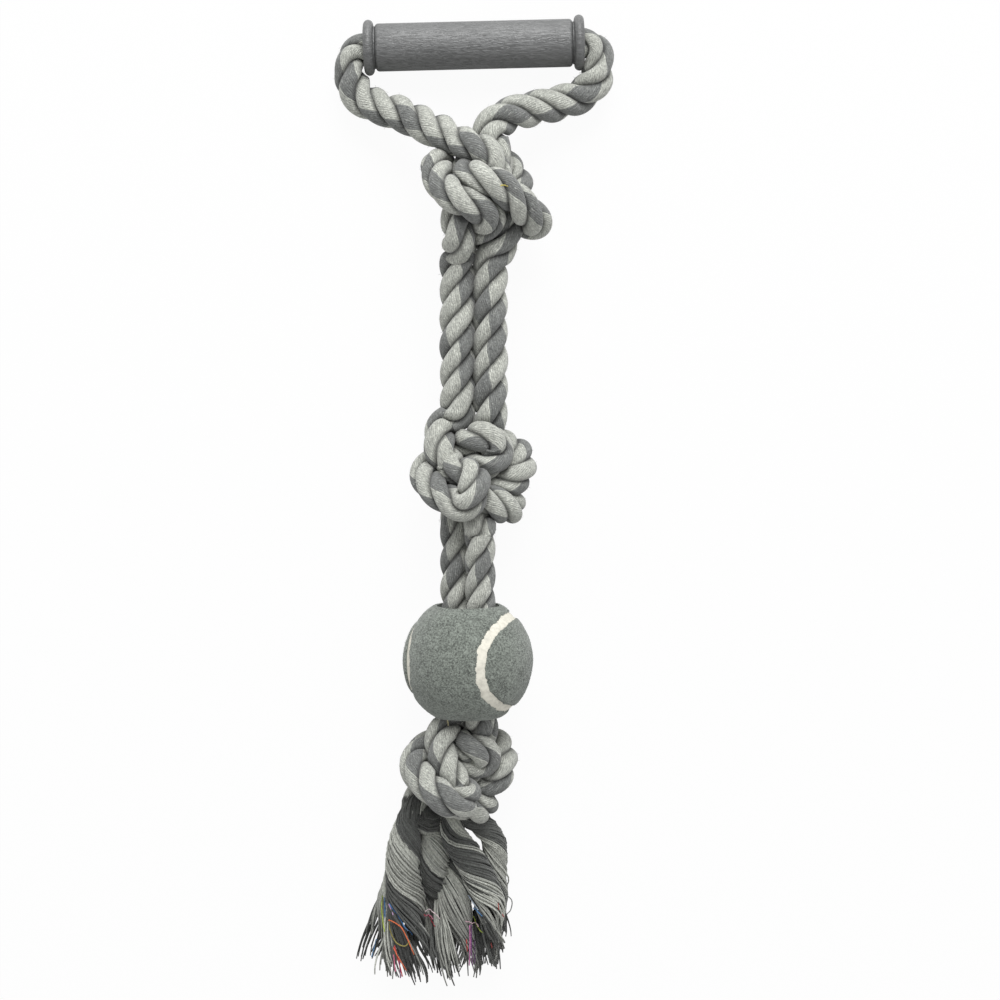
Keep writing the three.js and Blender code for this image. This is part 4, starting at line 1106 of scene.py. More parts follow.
speck, fleck = (
    noise(laid, combined(
        laid, calc(laid, "MULTIPLY", threads, finer), calc(laid, "MULTIPLY", along, shorter), layer,
    ), 1.0, 2.0, 0.6)
    for finer, shorter, layer in ((2.6, 7.0, 4.0), (2.2, 3.2, 5.0))
)
fleck = between(laid, fleck, 0.56, 0.70, 0.0, 0.45)
yarn_colour = mixed(laid, is_dark, inside["Light"], inside["Dark"])
other_colour = mixed(laid, is_dark, inside["Dark"], inside["Light"])
flecked = mixed(laid, fleck, yarn_colour, other_colour)
# Painted shade: each yarn is darker towards its edges, as in the grooves between yarns, and the shade
# input darkens creases and pressed places; the other factors are the yarns' own uneven tone.
tone_and_painted_shade = calc(laid, "MULTIPLY_ADD", ridge, 0.2, 0.82)
for share in (
    calc(laid, "MULTIPLY_ADD", own, 0.14, 0.93),
    between(laid, streak, 0.3, 0.7, 0.70, 1.26),
    between(laid, speck, 0.3, 0.7, 0.74, 1.22),
    calc(laid, "MULTIPLY_ADD", inside["Painted shade"], -0.62, 1.0),
):
    tone_and_painted_shade = calc(laid, "MULTIPLY", tone_and_painted_shade, share)
laid.links.new(shaded(laid, flecked, tone_and_painted_shade), out["Color"])
height = calc(laid, "ADD", calc(laid, "MULTIPLY", ridge, 0.5), calc(laid, "MULTIPLY", streak, 0.5))
height = calc(laid, "MULTIPLY_ADD", speck, 0.35, height)
laid.links.new(height, out["Height"])
print("group", laid.name)

# %% The rope's cotton
YARN_LIGHT = linear(191, 193, 185)
YARN_DARK = linear(123, 125, 123)
COTTON = {"roughness": 0.95, "specular": 0.15, "sheen": 0.25}
cotton, tree, shader, spot = new_material("rope cotton", **COTTON)
uv = tree.nodes.new("ShaderNodeUVMap")
uv.uv_map = "Yarn"
# The shade attribute brings painted shade in the creases and pressed places into the yarn pattern.
made = placed_group(tree, laid, **{
    "Yarn": uv.outputs[0], "Painted shade": attribute(tree, "Painted shade", "Fac"), "Light": YARN_LIGHT,
    "Dark": YARN_DARK, "Dark share": 0.39, "Yarns round": 27.0,
})
hairs = placed_group(tree, fuzz, Place=spot, Fineness=1500.0, Amount=0.26)
finish(tree, shader, made["Color"], hairs["Shade"], made["Height"], 0.0006, 0.8)
for rope in ropes.values():
    rope.data.materials.append(cotton)
print(cotton.name, "on", len(ropes), "pieces")

# %% [markdown]
# ## The grip
#
# The real grip is moulded or turned: every section across it is a circle. So its outline is drawn
# once as a row of points, from the bore over one flange, along the barrel and over the other flange,
# and is spun about the middle line. The spun skin is closed on itself, so it needs no wall.

# %% The grip's outline
BARREL_RADIUS = 11.75
FLANGE_RADIUS = 13.7
FLANGE_WIDTH = 4.9
GRIP_BORE_RADIUS = 8.8
GROOVE_DEPTH = 1.3
GROOVE_WIDTH = 0.9
BARREL_CORNER = 1.6
MOUTH_BEVEL = 0.8


def round_corner(x, r, radius, start, stop, steps=6):
    """Points round a corner's centre; angles in degrees, 90 is outwards."""
    angles = np.radians(np.linspace(start, stop, steps))
    return [(x + radius * math.cos(a), r + radius * math.sin(a)) for a in angles]


def half_outline():
    """From the bore's mouth at the face to the middle of the barrel, for the end at +x."""
    face = GRIP_LENGTH / 2
    bead = FLANGE_WIDTH / 2
    inner = face - FLANGE_WIDTH
    points = [
        (face - MOUTH_BEVEL, GRIP_BORE_RADIUS), (face, GRIP_BORE_RADIUS + MOUTH_BEVEL),
        (face, FLANGE_RADIUS - bead - 0.3),
    ]
    points += round_corner(face - bead, FLANGE_RADIUS - bead, bead, 0, 90)
    points += round_corner(inner + bead, FLANGE_RADIUS - bead, bead, 90, 180)
    bottom = BARREL_RADIUS - GROOVE_DEPTH
    points += [(inner, bottom + 0.4), (inner - 0.3, bottom), (inner - GROOVE_WIDTH + 0.2, bottom)]
    points += round_corner(
        inner - GROOVE_WIDTH - BARREL_CORNER, BARREL_RADIUS - BARREL_CORNER, BARREL_CORNER, -8, 90,
    )
    points += [(x, BARREL_RADIUS) for x in (40, 30, 20, 10)]
    return points


right_half = half_outline()
outline = right_half + [(0, BARREL_RADIUS)] + [(-x, r) for x, r in right_half[::-1]]
outline += [(x, GRIP_BORE_RADIUS) for x in (-36, -18, 0, 18, 36)]
print("the grip's outline has", len(outline), "points")

# %% Spinning the grip
GRIP_STEPS = 128


def select_only(made):
    bpy.ops.object.select_all(action="DESELECT")
    made.select_set(True)
    bpy.context.view_layer.objects.active = made


grip_up = np.array([-grip_way[1], grip_way[0], 0])
skin = bpy.data.meshes.new("grip_turned")
places = [in_frame(GRIP_MIDDLE + x * grip_way + r * grip_up) for x, r in outline]
links = [(i, (i + 1) % len(places)) for i in range(len(places))]
skin.from_pydata([tuple(p) for p in places], links, [])
turned_grip = bpy.data.objects.new("grip_turned", skin)
scene.collection.objects.link(turned_grip)
select_only(turned_grip)
bpy.ops.object.mode_set(mode="EDIT")
bpy.ops.mesh.select_all(action="SELECT")
bpy.ops.mesh.spin(
    steps=GRIP_STEPS, angle=2 * math.pi, center=tuple(in_frame(GRIP_MIDDLE)), axis=tuple(grip_way),
)
bpy.ops.mesh.select_all(action="SELECT")
bpy.ops.mesh.remove_doubles(threshold=0.00001)
bpy.ops.mesh.normals_make_consistent(inside=False)
bpy.ops.object.mode_set(mode="OBJECT")
bpy.ops.object.shade_smooth_by_angle(angle=math.radians(40))
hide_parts("grip")
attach(turned_grip, "grip")
print("grip has", len(skin.polygons), "faces")

# %% The grip's grain
GRIP_GREY = linear(104, 105, 105)
grain, tree, shader, spot = new_material("grip grain", 0.4, 0.78)
waves = noise(tree, stretched(tree, spot, 130.0, 620.0, 620.0), 1.0, 3.0, 0.55, 2.2)
pores = noise(tree, stretched(tree, spot, 300.0, 1500.0, 1500.0), 1.0)
clouds = noise(tree, stretched(tree, spot, 40.0, 60.0, 60.0), 1.0)
tone = between(tree, waves, 0.3, 0.7, 0.72, 1.28)
tone = calc(tree, "MULTIPLY", tone, between(tree, clouds, 0.3, 0.7, 0.93, 1.07))
tone = calc(tree, "MULTIPLY", tone, between(tree, pores, 0.55, 0.75, 1.0, 0.82))
tree.links.new(between(tree, waves, 0.3, 0.7, 0.32, 0.5), shader["Roughness"])
finish(tree, shader, GRIP_GREY, tone, calc(tree, "MULTIPLY_ADD", pores, -0.35, waves), 0.0006, 0.8)
skin.materials.append(grain)
print(grain.name)

# %% [markdown]
# ## The ball
#
# A felt ball of this kind is a hollow rubber ball covered by two panels of felt, each the shape of a
# dumb-bell, with a pale line of cement between them. The line is one closed curve that goes round the
# ball like the seam of a sports ball. A fine sphere is cut along that curve into two panels. Their
# edges are cut by hand on the real ball, so they are a little ragged here, and rounded down to the
# seam.

# %% The seam's curve on the ball
SEAM_WIDE = 0.82
SEAM_FOLDED = 0.18
SEAM_TURN = math.radians(-28.0)
SEAM_WIDTH = 4.9


def on_seam(t):
    """Places on the seam, as directions from the ball's middle."""
    x = SEAM_WIDE * np.cos(t) + SEAM_FOLDED * np.cos(3 * t)
    y = SEAM_WIDE * np.sin(t) - SEAM_FOLDED * np.sin(3 * t)
    z = 2 * math.sqrt(SEAM_WIDE * SEAM_FOLDED) * np.sin(2 * t)
    along, aside = (y - x) / math.sqrt(2), (x + y) / math.sqrt(2)
    c, s = math.cos(SEAM_TURN), math.sin(SEAM_TURN)
    points = np.stack([aside * c + z * s, along, -aside * s + z * c], -1)
    return points / np.linalg.norm(points, axis=-1)[..., None]


seam_t = np.linspace(0, 2 * math.pi, 1440, endpoint=False)
seam_points = on_seam(seam_t)
seam_ahead = np.roll(seam_points, -1, 0) - np.roll(seam_points, 1, 0)
seam_aside = unit(np.cross(seam_points, seam_ahead))
CUT_WAVES = (
    (0.20, 11, 0.4), (0.20, 23, 2.2), (0.16, 37, 1), (0.15, 61, 2), (0.12, 103, 0.5), (0.10, 167, 4),
    (0.07, 263, 3),
)
JOIN_AT = np.array([6.8, -6.5, 31.0]) / (BALL / 2)
join_t = seam_t[(seam_points @ JOIN_AT).argmax()]
join_tab = 0.9 * np.exp(-((seam_t - join_t) / 0.012) ** 2)


def cut_edge(side):
    """How far each panel's edge is cut back from or left over the seam's line, in mm."""
    waves = sum(
        size * np.sin(count * seam_t + phase + 1.9 * side) for size, count, phase in CUT_WAVES
    )
    return (1.25 if side > 0 else 0.75) * waves + join_tab


ragged = {side: cut_edge(side) for side in (1, -1)}


def beside_seam(ways):
    """How far each place on the ball is from the seam's middle, in mm, with the side as its sign."""
    near = np.empty(len(ways), int)
    for first in range(0, len(ways), 4000):
        near[first:first + 4000] = (ways[first:first + 4000] @ seam_points.T).argmax(1)
    away = np.arccos(np.clip((ways * seam_points[near]).sum(1), -1, 1)) * BALL / 2
    return np.where((ways * seam_aside[near]).sum(1) > 0, away, -away), near


print("seam is", round(float(np.linalg.norm(seam_ahead, axis=1).sum() / 2 * BALL / 2)), "mm long")

# %% Cutting a sphere along the seam
def corners_of(made):
    return np.array([v.co for v in made.data.vertices])


def ways_to(made):
    """Where each corner is, as a direction from the ball's middle."""
    return (corners_of(made) - in_frame(BALL_MIDDLE)) / (BALL / 2 * MM)


def across_axis(ways):
    return np.hypot(ways[:, 0], ways[:, 2])


def cut_sphere(name, side):
    """A fine sphere without the hole and the other panel, and which corners are at its edges."""
    bpy.ops.object.select_all(action="DESELECT")
    bpy.ops.mesh.primitive_ico_sphere_add(
        subdivisions=7, radius=BALL / 2 * MM, location=tuple(in_frame(BALL_MIDDLE)),
    )
    panel = bpy.context.object
    panel.name = name
    select_only(panel)
    bpy.ops.object.transform_apply(location=True, rotation=False, scale=False)
    ways = ways_to(panel)
    away, near = beside_seam(ways)
    past_cut = side * away < SEAM_WIDTH / 2 + ragged[side][near]
    beyond = past_cut | (across_axis(ways) * BALL / 2 < BORE / 2)
    bpy.ops.object.mode_set(mode="EDIT")
    bpy.ops.mesh.select_all(action="DESELECT")
    bpy.ops.object.mode_set(mode="OBJECT")
    panel.data.vertices.foreach_set("select", beyond)
    bpy.ops.object.mode_set(mode="EDIT")
    bpy.ops.mesh.delete(type="VERT")
    bpy.ops.mesh.select_non_manifold()
    bpy.ops.object.mode_set(mode="OBJECT")
    at_edge = np.zeros(len(panel.data.vertices), bool)
    panel.data.vertices.foreach_get("select", at_edge)
    return panel, at_edge


def moved_to_cut(ways, at_edge, side):
    """The corners at an edge, moved onto the ragged cut or onto the hole's rim."""
    away, near = beside_seam(ways)
    turn = ((SEAM_WIDTH / 2 + ragged[side][near]) / (BALL / 2))[:, None]
    to_seam = at_edge & (side * away < SEAM_WIDTH / 2 + 2)
    cut_line = np.cos(turn) * seam_points[near] + side * np.sin(turn) * seam_aside[near]
    ways[to_seam] = cut_line[to_seam]
    to_hole = at_edge & ~to_seam
    rim = BORE / BALL
    ways[to_hole] *= (rim / across_axis(ways[to_hole]))[:, None]
    ways[to_hole, 1] = np.sign(ways[to_hole, 1]) * math.sqrt(1 - rim**2)
    return ways


print("each panel is cut from a sphere", BALL, "mm across")

# %% Two panels of felt
SHOULDER = 1.5
SHOULDER_DROP = 0.8
LUMP = 0.02
FELT = 2.0
ball_random = np.random.default_rng(11)
lump_ways = ball_random.normal(0, 9, (40, 3))
lump_phases = ball_random.uniform(0, 2 * math.pi, 40)


def rounded_down(depth, wide, drop):
    """How far a rounded edge lies below the surface, at a distance from the edge."""
    t = np.clip(1 - depth / wide, 0, 1)
    return drop * (1 - np.sqrt(1 - t * t))


def felt_panel(name, side):
    """One panel of felt with lumps and rounded edges; side is 1 or -1."""
    panel, at_edge = cut_sphere(name, side)
    ways = moved_to_cut(unit(ways_to(panel)), at_edge, side)
    away, near = beside_seam(ways)
    radius = BALL / 2 + LUMP * np.sin(ways @ lump_ways.T + lump_phases).sum(1)
    radius -= rounded_down(side * away - SEAM_WIDTH / 2 - ragged[side][near], SHOULDER, SHOULDER_DROP)
    radius -= rounded_down(across_axis(ways) * BALL / 2 - BORE / 2, SHOULDER, SHOULDER_DROP)
    points = in_frame(BALL_MIDDLE + radius[:, None] * ways)
    panel.data.vertices.foreach_set("co", points.astype(np.float32).ravel())
    panel.data.update()
    wall = panel.modifiers.new("wall", "SOLIDIFY")
    wall.thickness = FELT * MM
    wall.offset = -1
    bpy.ops.object.modifier_apply(modifier="wall")
    bpy.ops.object.shade_smooth_by_angle(angle=math.radians(50))
    return panel


felt_a = felt_panel("felt_a", 1)
felt_b = felt_panel("felt_b", -1)
for panel in (felt_a, felt_b):
    print(panel.name, len(panel.data.vertices), "corners")

# %% The line of cement between the panels
SEAM_STEPS = 720
SEAM_HIDDEN = 1.3
SEAM_TOP = 0.85
SEAM_BOTTOM = 2.1


def seam_strip():
    """A low closed strip along the seam, a little wider than the gap between the panels."""
    across = np.linspace(-1, 1, 9)
    section = [(u, SEAM_TOP + 0.3 * u**4) for u in across] + [(u, SEAM_BOTTOM) for u in across[::-1]]
    every = len(seam_t) // SEAM_STEPS
    rows = []
    for point, aside in zip(seam_points[::every], seam_aside[::every]):
        for u, depth in section:
            turn = u * (SEAM_WIDTH / 2 + SEAM_HIDDEN) / (BALL / 2)
            way = math.cos(turn) * point + math.sin(turn) * aside
            rows.append(BALL_MIDDLE + (BALL / 2 - depth) * way)
    m = len(section)
    faces = []
    for i in range(SEAM_STEPS):
        low, high = i * m, (i + 1) % SEAM_STEPS * m
        faces += [(low + j, high + j, high + (j + 1) % m, low + (j + 1) % m) for j in range(m)]
    return new_mesh("seam_cement", in_frame(np.array(rows)), faces)


seam = seam_strip()
select_only(seam)
bpy.ops.object.mode_set(mode="EDIT")
bpy.ops.mesh.select_all(action="SELECT")
bpy.ops.mesh.normals_make_consistent(inside=False)
bpy.ops.object.mode_set(mode="OBJECT")
bpy.ops.object.shade_smooth_by_angle(angle=math.radians(50))
print("seam of", len(seam.data.polygons), "faces")

# %% The nap: short fibres that stand off the felt
NAP_WIDTH = 0.16
NAP_SUNK = 0.12


def nap(count=11000):
    """Short fibres all over both panels, clear of the seam and the hole."""
    ups = unit(ball_random.normal(0, 1, (count, 3)))
    away, near = beside_seam(ups)
    inward = np.abs(away) - SEAM_WIDTH / 2 - np.where(away > 0, ragged[1][near], ragged[-1][near])
    kept = (inward > 0.2) & (across_axis(ups) * BALL / 2 > BORE / 2 + 0.3)
    ups, inward = ups[kept], inward[kept]
    ways = unit(np.cross(ups, ball_random.normal(0, 1, ups.shape)))
    lengths = ball_random.uniform(0.5, 1.5, len(ups))
    lift = ball_random.uniform(0.05, 0.32, len(ups))
    depth = rounded_down(inward, SHOULDER, SHOULDER_DROP) + NAP_SUNK
    roots = BALL_MIDDLE + (BALL / 2 - depth)[:, None] * ups
    points, faces = ribbons(roots, ways, ups, lengths, NAP_WIDTH, lift)
    points[:, 2] = np.maximum(points[:, 2], 0.05)
    return new_mesh("felt_nap", in_frame(points), faces)


felt_nap = nap()
print("nap of", len(felt_nap.data.polygons) // 2, "fibres")

# %% The finishes of the ball
FELT_GREY = linear(121, 127, 120)
CEMENT_PALE = linear(232, 229, 216)
RUBBER_DARK = linear(66, 69, 68)
felt, tree, shader, spot = new_material("felt", 1.0, 0.1, 0.3)
hairs = placed_group(tree, fuzz, Place=spot, Fineness=1100.0, Amount=0.6)
patches = noise(tree, spot, 420.0, 3.0, 0.6, 0.4)
tone = calc(tree, "MULTIPLY", hairs["Shade"], between(tree, patches, 0.3, 0.7, 0.93, 1.07))
relief = calc(tree, "MULTIPLY_ADD", patches, 0.3, hairs["Height"])
finish(tree, shader, FELT_GREY, tone, relief, 0.0009, 0.7)
cement, tree, shader, spot = new_material("seam cement", 0.85, 0.3)
grime = noise(tree, spot, 420.0, 3.0, 0.6)
finish(tree, shader, CEMENT_PALE, between(tree, grime, 0.35, 0.75, 1.04, 0.82), grime, 0.0005, 0.4)
rubber, tree, shader, spot = new_material("ball rubber", 0.8, 0.4)
tone = between(tree, noise(tree, spot, 300.0, 3.0, 0.6), 0.3, 0.7, 0.8, 1.2)
tree.links.new(shaded(tree, RUBBER_DARK, tone), shader["Base Color"])
for made, node, material, slot in (
    (felt_a, "felt_panel_a", felt, "ball_felt"), (felt_b, "felt_panel_b", felt, "ball_felt"),
    (seam, "seam_line", cement, "seam"), (felt_nap, None, felt, "ball_felt"),
):
    made.data.materials.clear()
    made.data.materials.append(material)
    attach(made, "ball")
    if node:
        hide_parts(node)
for half in ("ball_core_upper", "ball_core_lower"):
    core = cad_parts[half]
    for place in core.material_slots:
        place.material = rubber
print("the ball has its felt, cement and rubber")

# %% [markdown]
# ## The loose strands
#
# Below the last knot the rope ends are opened out. Each strand there is a hank of yarns, thin spun
# threads that still remember their twist. A strand is half light and half dark yarns, so the twist
# shows as broad slanting bands. Each yarn is its own thin tube. It starts in the rope, under the
# knot, keeps its place across the hank at first, and gathers into small tufts towards the tips.

# %% The hanks' middle lines
STRAND_ANGLES = (150, 30, 270)
STRAND_OUT = 3.77
UP_THE_ROPE = 14.0
ROPE_END_WIDTHS = (7.2, 11.5)
# Each row: rope, strand, how far the hank goes past its last point, how far along its light side
# is seen, its share of light yarns, how far its tufts stray, and points as (x, y, z, width), in mm.
HANKS = [
    (0, 0, 15, 34, 0.56, 2.9, [
        (-35, 72, 24.3, 17), (-36.5, 58, 23.5, 17), (-35, 42, 20, 19), (-34.5, 14, 15.5, 23),
    ]),
    (0, 1, 14, 32, 0.5, 2.6, [
        (-20.5, 79, 20, 15.5), (-21.5, 60, 18, 17), (-19.5, 44, 10, 17), (-20, 28, 8, 18),
    ]),
    (1, 0, 8, 52, 0.48, 2.4, [
        (-11, 77, 25, 13), (-3.5, 65, 24.5, 15), (4, 51, 23, 16), (9, 36, 21, 15.5),
        (11, 18, 19.5, 17.5),
    ]),
    (1, 1, 12, 45, 0.42, 2.3, [
        (4, 80, 19.5, 11), (10, 71, 17, 12), (10, 58, 13, 13), (8.5, 42, 9, 16), (6, 20, 8, 22),
    ]),
    (1, 2, 10, 66, 0.5, 3.7, [
        (-12, 78, 10, 13), (-10, 58, 12, 15), (-11, 38, 17, 18), (-11.5, 14, 17, 24),
    ]),
    (0, 2, 9, 26, 0.4, 2.4, [
        (-36, 74, 11, 9), (-38, 58, 8.5, 12), (-42.5, 40, 8.5, 15), (-48, 19, 8.6, 17),
    ]),
]


def strand_in_rope(rope, seat):
    """The middle of one strand of the rope, from under the knot to the rope's end."""
    if rope == 0:
        rings = [values[::-1] for values in rope_rings(0.5, UP_THE_ROPE)]
        ahead = -line_tangents[0]
    else:
        rings = rope_rings(cad_lengths[-1] - UP_THE_ROPE, cad_lengths[-1] - 0.5)
        ahead = line_tangents[-1]
    _, centres, sides, ups, turns, _ = rings
    across = np.array([1.0, 0, 0]) - ahead[0] * ahead
    across /= np.linalg.norm(across)
    angle = math.radians(STRAND_ANGLES[seat])
    seat_way = math.cos(angle) * across + math.sin(angle) * np.cross(ahead, across)
    crowns = 2 * math.pi * (turns[None, :] + np.arange(3)[:, None] / 3)
    ways = np.cos(crowns)[:, :, None] * sides + np.sin(crowns)[:, :, None] * ups
    best = int((ways[:, -1] @ seat_way).argmax())
    return centres + STRAND_OUT * ways[best]


def hank_line(rope, seat, beyond, way):
    """A hank's middle line, how far along it each point is, and how wide the hank is there."""
    in_rope = strand_in_rope(rope, seat)[::3]
    rows = [np.array(row[:3], float) for row in way]
    last = rows[-1] + beyond * (rows[-1] - rows[-2]) / np.linalg.norm(rows[-1] - rows[-2])
    middle = smooth_line([*in_rope, *rows, last])
    lengths = lengths_along(middle)
    widths = [*np.linspace(*ROPE_END_WIDTHS, len(in_rope)), *[row[3] for row in way], way[-1][3]]
    return middle, lengths, np.interp(lengths, lengths[::SPAN_STEPS], widths)


hank_lines = [hank_line(*hank[:3], hank[-1]) for hank in HANKS]
for k, (middle, lengths, widths) in enumerate(hank_lines):
    print("hank", k + 1, "is", round(lengths[-1]), "mm long and", round(widths.max(), 1), "mm wide")

# %% Thin tubes for yarns
def thin_tubes(lines, radii, sides=4):
    """Closed tubes round many lines of equal point count; lines and radii in mm."""
    count, steps = lines.shape[:2]
    ahead = unit(np.gradient(lines, axis=1))
    side = unit(np.cross(ahead, np.array([0.31, 0.12, 0.94])))
    up = np.cross(ahead, side)
    angles = 2 * math.pi * np.arange(sides) / sides
    round_points = (
        lines[:, :, None]
        + radii[:, :, None, None] * (
            np.cos(angles)[None, None, :, None] * side[:, :, None]
            + np.sin(angles)[None, None, :, None] * up[:, :, None]
        )
    )
    points = round_points.reshape(-1, 3)
    ring = np.arange(sides)
    after = (ring + 1) % sides
    faces = []
    for i in range(count):
        for j in range(steps - 1):
            low = (i * steps + j) * sides
            high = low + sides
            faces += np.stack([low + ring, low + after, high + after, high + ring], 1).tolist()
        first, last = i * steps * sides, (i * steps + steps - 1) * sides
        faces += [(first + ring[::-1]).tolist(), (last + ring).tolist()]
    return points, faces


print("a yarn's tube has 4 sides")

# %% Where the yarns run across a hank
TUFTED = 0.74
hank_random = np.random.default_rng(5)


def smooth_random(count, steps, size):
    """A few slow waves for each of many lines."""
    t = np.linspace(0, 1, steps)
    waves = np.zeros((count, steps))
    for turns in (1.0, 2.2, 3.7):
        phase = hank_random.uniform(0, 2 * math.pi, (count, 1))
        high = hank_random.normal(0, size / turns, (count, 1))
        waves += high * np.sin(2 * math.pi * turns * t + phase)
    return waves


def places_across(width, t):
    """Where each yarn runs in a disc of radius 1, and which tuft it ends in."""
    outside, inside = int(3.7 * width), int(2.8 * width)
    count = outside + inside
    angle = 2 * math.pi * hank_random.random(count)
    jitter = hank_random.uniform(-0.3, 0.3, outside)
    angle[:outside] = 2 * math.pi * (np.arange(outside) + jitter) / outside
    out = np.concatenate([
        hank_random.uniform(0.86, 1.04, outside), hank_random.uniform(0.2, 0.85, inside),
    ])
    own = out[:, None] * np.stack([np.cos(angle), np.sin(angle)], 1)
    tufts = hank_random.normal(0, 1, (int(0.6 * width), 2))
    tufts *= (hank_random.uniform(0.3, 1.0, len(tufts)) / np.linalg.norm(tufts, axis=1))[:, None]
    tuft = ((own[:, None] - tufts[None]) ** 2).sum(2).argmin(1)
    gathered = tufts[tuft] + hank_random.normal(0, 0.1, (count, 2))
    share = TUFTED * ease((t - 0.6) / 0.4)[None, :, None]
    return own[:, None] * (1 - share) + gathered[:, None] * share, angle, tuft, outside


print("the tips gather to", TUFTED, "of the way into tufts")

# %% The lines of a hank's yarns
YARN = 0.44
YARN_STEPS = 30
HANK_LAY = 46.0
UNTWISTS_FROM = 44.0
UNTWISTS_OVER = 40.0
UNTWISTED = 0.72


def yarn_lines(middle, lengths, widths, strayed):
    """Each yarn's line and its radii, in mm, and what its colour depends on."""
    t = np.linspace(0, 1, YARN_STEPS)
    across, angle, tuft, outside = places_across(widths.max(), t)
    count = len(angle)
    reach = hank_random.uniform(0.87, 1.03, tuft.max() + 1)[tuft]
    reach = reach * hank_random.uniform(0.94, 1.02, count)
    s = reach[:, None] * t[None, :] * lengths[-1]
    ahead = tangents_along(middle)
    sides = carried_sides(ahead, np.array([1.0, 0, 0]))
    ups = np.cross(ahead, sides)
    place, side, up = (
        np.stack([np.interp(s, lengths, values[:, k]) for k in range(3)], 2)
        for values in (middle, sides, ups)
    )
    place += np.maximum(s - lengths[-1], 0)[:, :, None] * ahead[-1]
    half = np.interp(s, lengths, widths) / 2 - YARN * 0.5
    past = np.maximum(s - UNTWISTS_FROM, 0)
    slower = np.where(past < UNTWISTS_OVER, past**2 / (2 * UNTWISTS_OVER), past - UNTWISTS_OVER / 2)
    twist = 2 * math.pi * (s - UNTWISTED * slower) / HANK_LAY
    x = across[:, :, 0] * np.cos(twist) + across[:, :, 1] * np.sin(twist)
    y = across[:, :, 1] * np.cos(twist) - across[:, :, 0] * np.sin(twist)
    lines = place + (half * x)[:, :, None] * side + (half * y)[:, :, None] * up
    looseness = 0.5 + 0.6 * ease((s - 20) / 40) + 1.5 * ease((s - 55) / 45)
    for k in range(3):
        lines[:, :, k] += smooth_random(count, YARN_STEPS, 0.38) * looseness
    tips = ease((t - 0.7) / 0.3)[None, :]
    tuft_way = hank_random.normal(0, 1, (tuft.max() + 1, 2))[tuft]
    tuft_way = tuft_way + hank_random.normal(0, 0.35, (count, 2))
    lines[:, :, 0] += strayed * tips * tuft_way[:, :1]
    lines[:, :, 2] += 0.6 * strayed * tips * np.abs(tuft_way[:, 1:])
    lines[:, :, 2] = np.maximum(lines[:, :, 2], 0.8)
    radii = YARN * np.clip(half / 6.0, 0.7, 1.1) * hank_random.uniform(0.85, 1.15, (count, 1))
    return lines, radii * np.interp(t, [0, 0.9, 1], [1, 1, 0.6]), angle, tuft, outside


print("a yarn is", 2 * YARN, "mm thick and turns once in", HANK_LAY, "mm")

# %% The colours of the yarns, and the six hanks
HANK_LIGHT = np.array(linear(182, 184, 176)[:3])
HANK_DARK = np.array(linear(90, 92, 89)[:3])


def yarn_colours(angle, tuft, outside, light_seen_at, light_share):
    """A light and a dark side to the hank, yarns of uneven shade, darker and lighter tufts, and painted
    shade on the inner yarns.
    """
    count = len(angle)
    seen = angle / (2 * math.pi) - 0.25 - light_seen_at / HANK_LAY
    is_dark = (np.abs(seen % 1 - 0.5) < 0.5 - light_share / 2) ^ (hank_random.random(count) > 0.96)
    shade = hank_random.uniform(0.74, 1.12, count)
    # Painted shade: the yarns inside the hank are darker.
    shade[outside:] *= 0.66
    colour = np.where(is_dark[:, None], HANK_DARK, HANK_LIGHT) * shade[:, None]
    tuft_shade = hank_random.choice([0.4, 0.62, 1.12], tuft.max() + 1)[tuft]
    in_tuft = ease((np.linspace(0, 1, YARN_STEPS) - 0.5) / 0.4)[None, :]
    fade = 0.96 + (tuft_shade[:, None] - 0.96) * in_tuft
    return colour[:, None, :] * fade[:, :, None]


def tinted(name, lines, radii, colours, sides=4):
    """Tubes with a colour at each point of each line."""
    points, faces = thin_tubes(lines, radii, sides)
    made = new_mesh(name, in_frame(points), faces)
    tint = made.data.attributes.new("Tint", "FLOAT_COLOR", "POINT")
    each = np.repeat(colours.reshape(-1, 3), sides, 0)
    opaque = np.hstack([each, np.ones((len(each), 1))])
    tint.data.foreach_set("color", opaque.astype(np.float32).ravel())
    return made


hanks, yarn_places = [], []
for k, (_, _, _, light_seen_at, light_share, strayed, _) in enumerate(HANKS):
    lines, radii, *about = yarn_lines(*hank_lines[k], strayed)
    hank = tinted(f"hank_{k + 1}", lines, radii, yarn_colours(*about, light_seen_at, light_share))
    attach(hank, "ball_end")
    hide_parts(f"tassel_strand_{k + 1}")
    hanks.append(hank)
    yarn_places.append(lines.reshape(-1, 3))
print(len(hanks), "hanks of yarns")

# %% [markdown]
# A few single threads in other colours lie on the hanks, left over from other ropes spun on the same
# machine. Each one is drawn as seen from above, and laid on whatever is highest there.

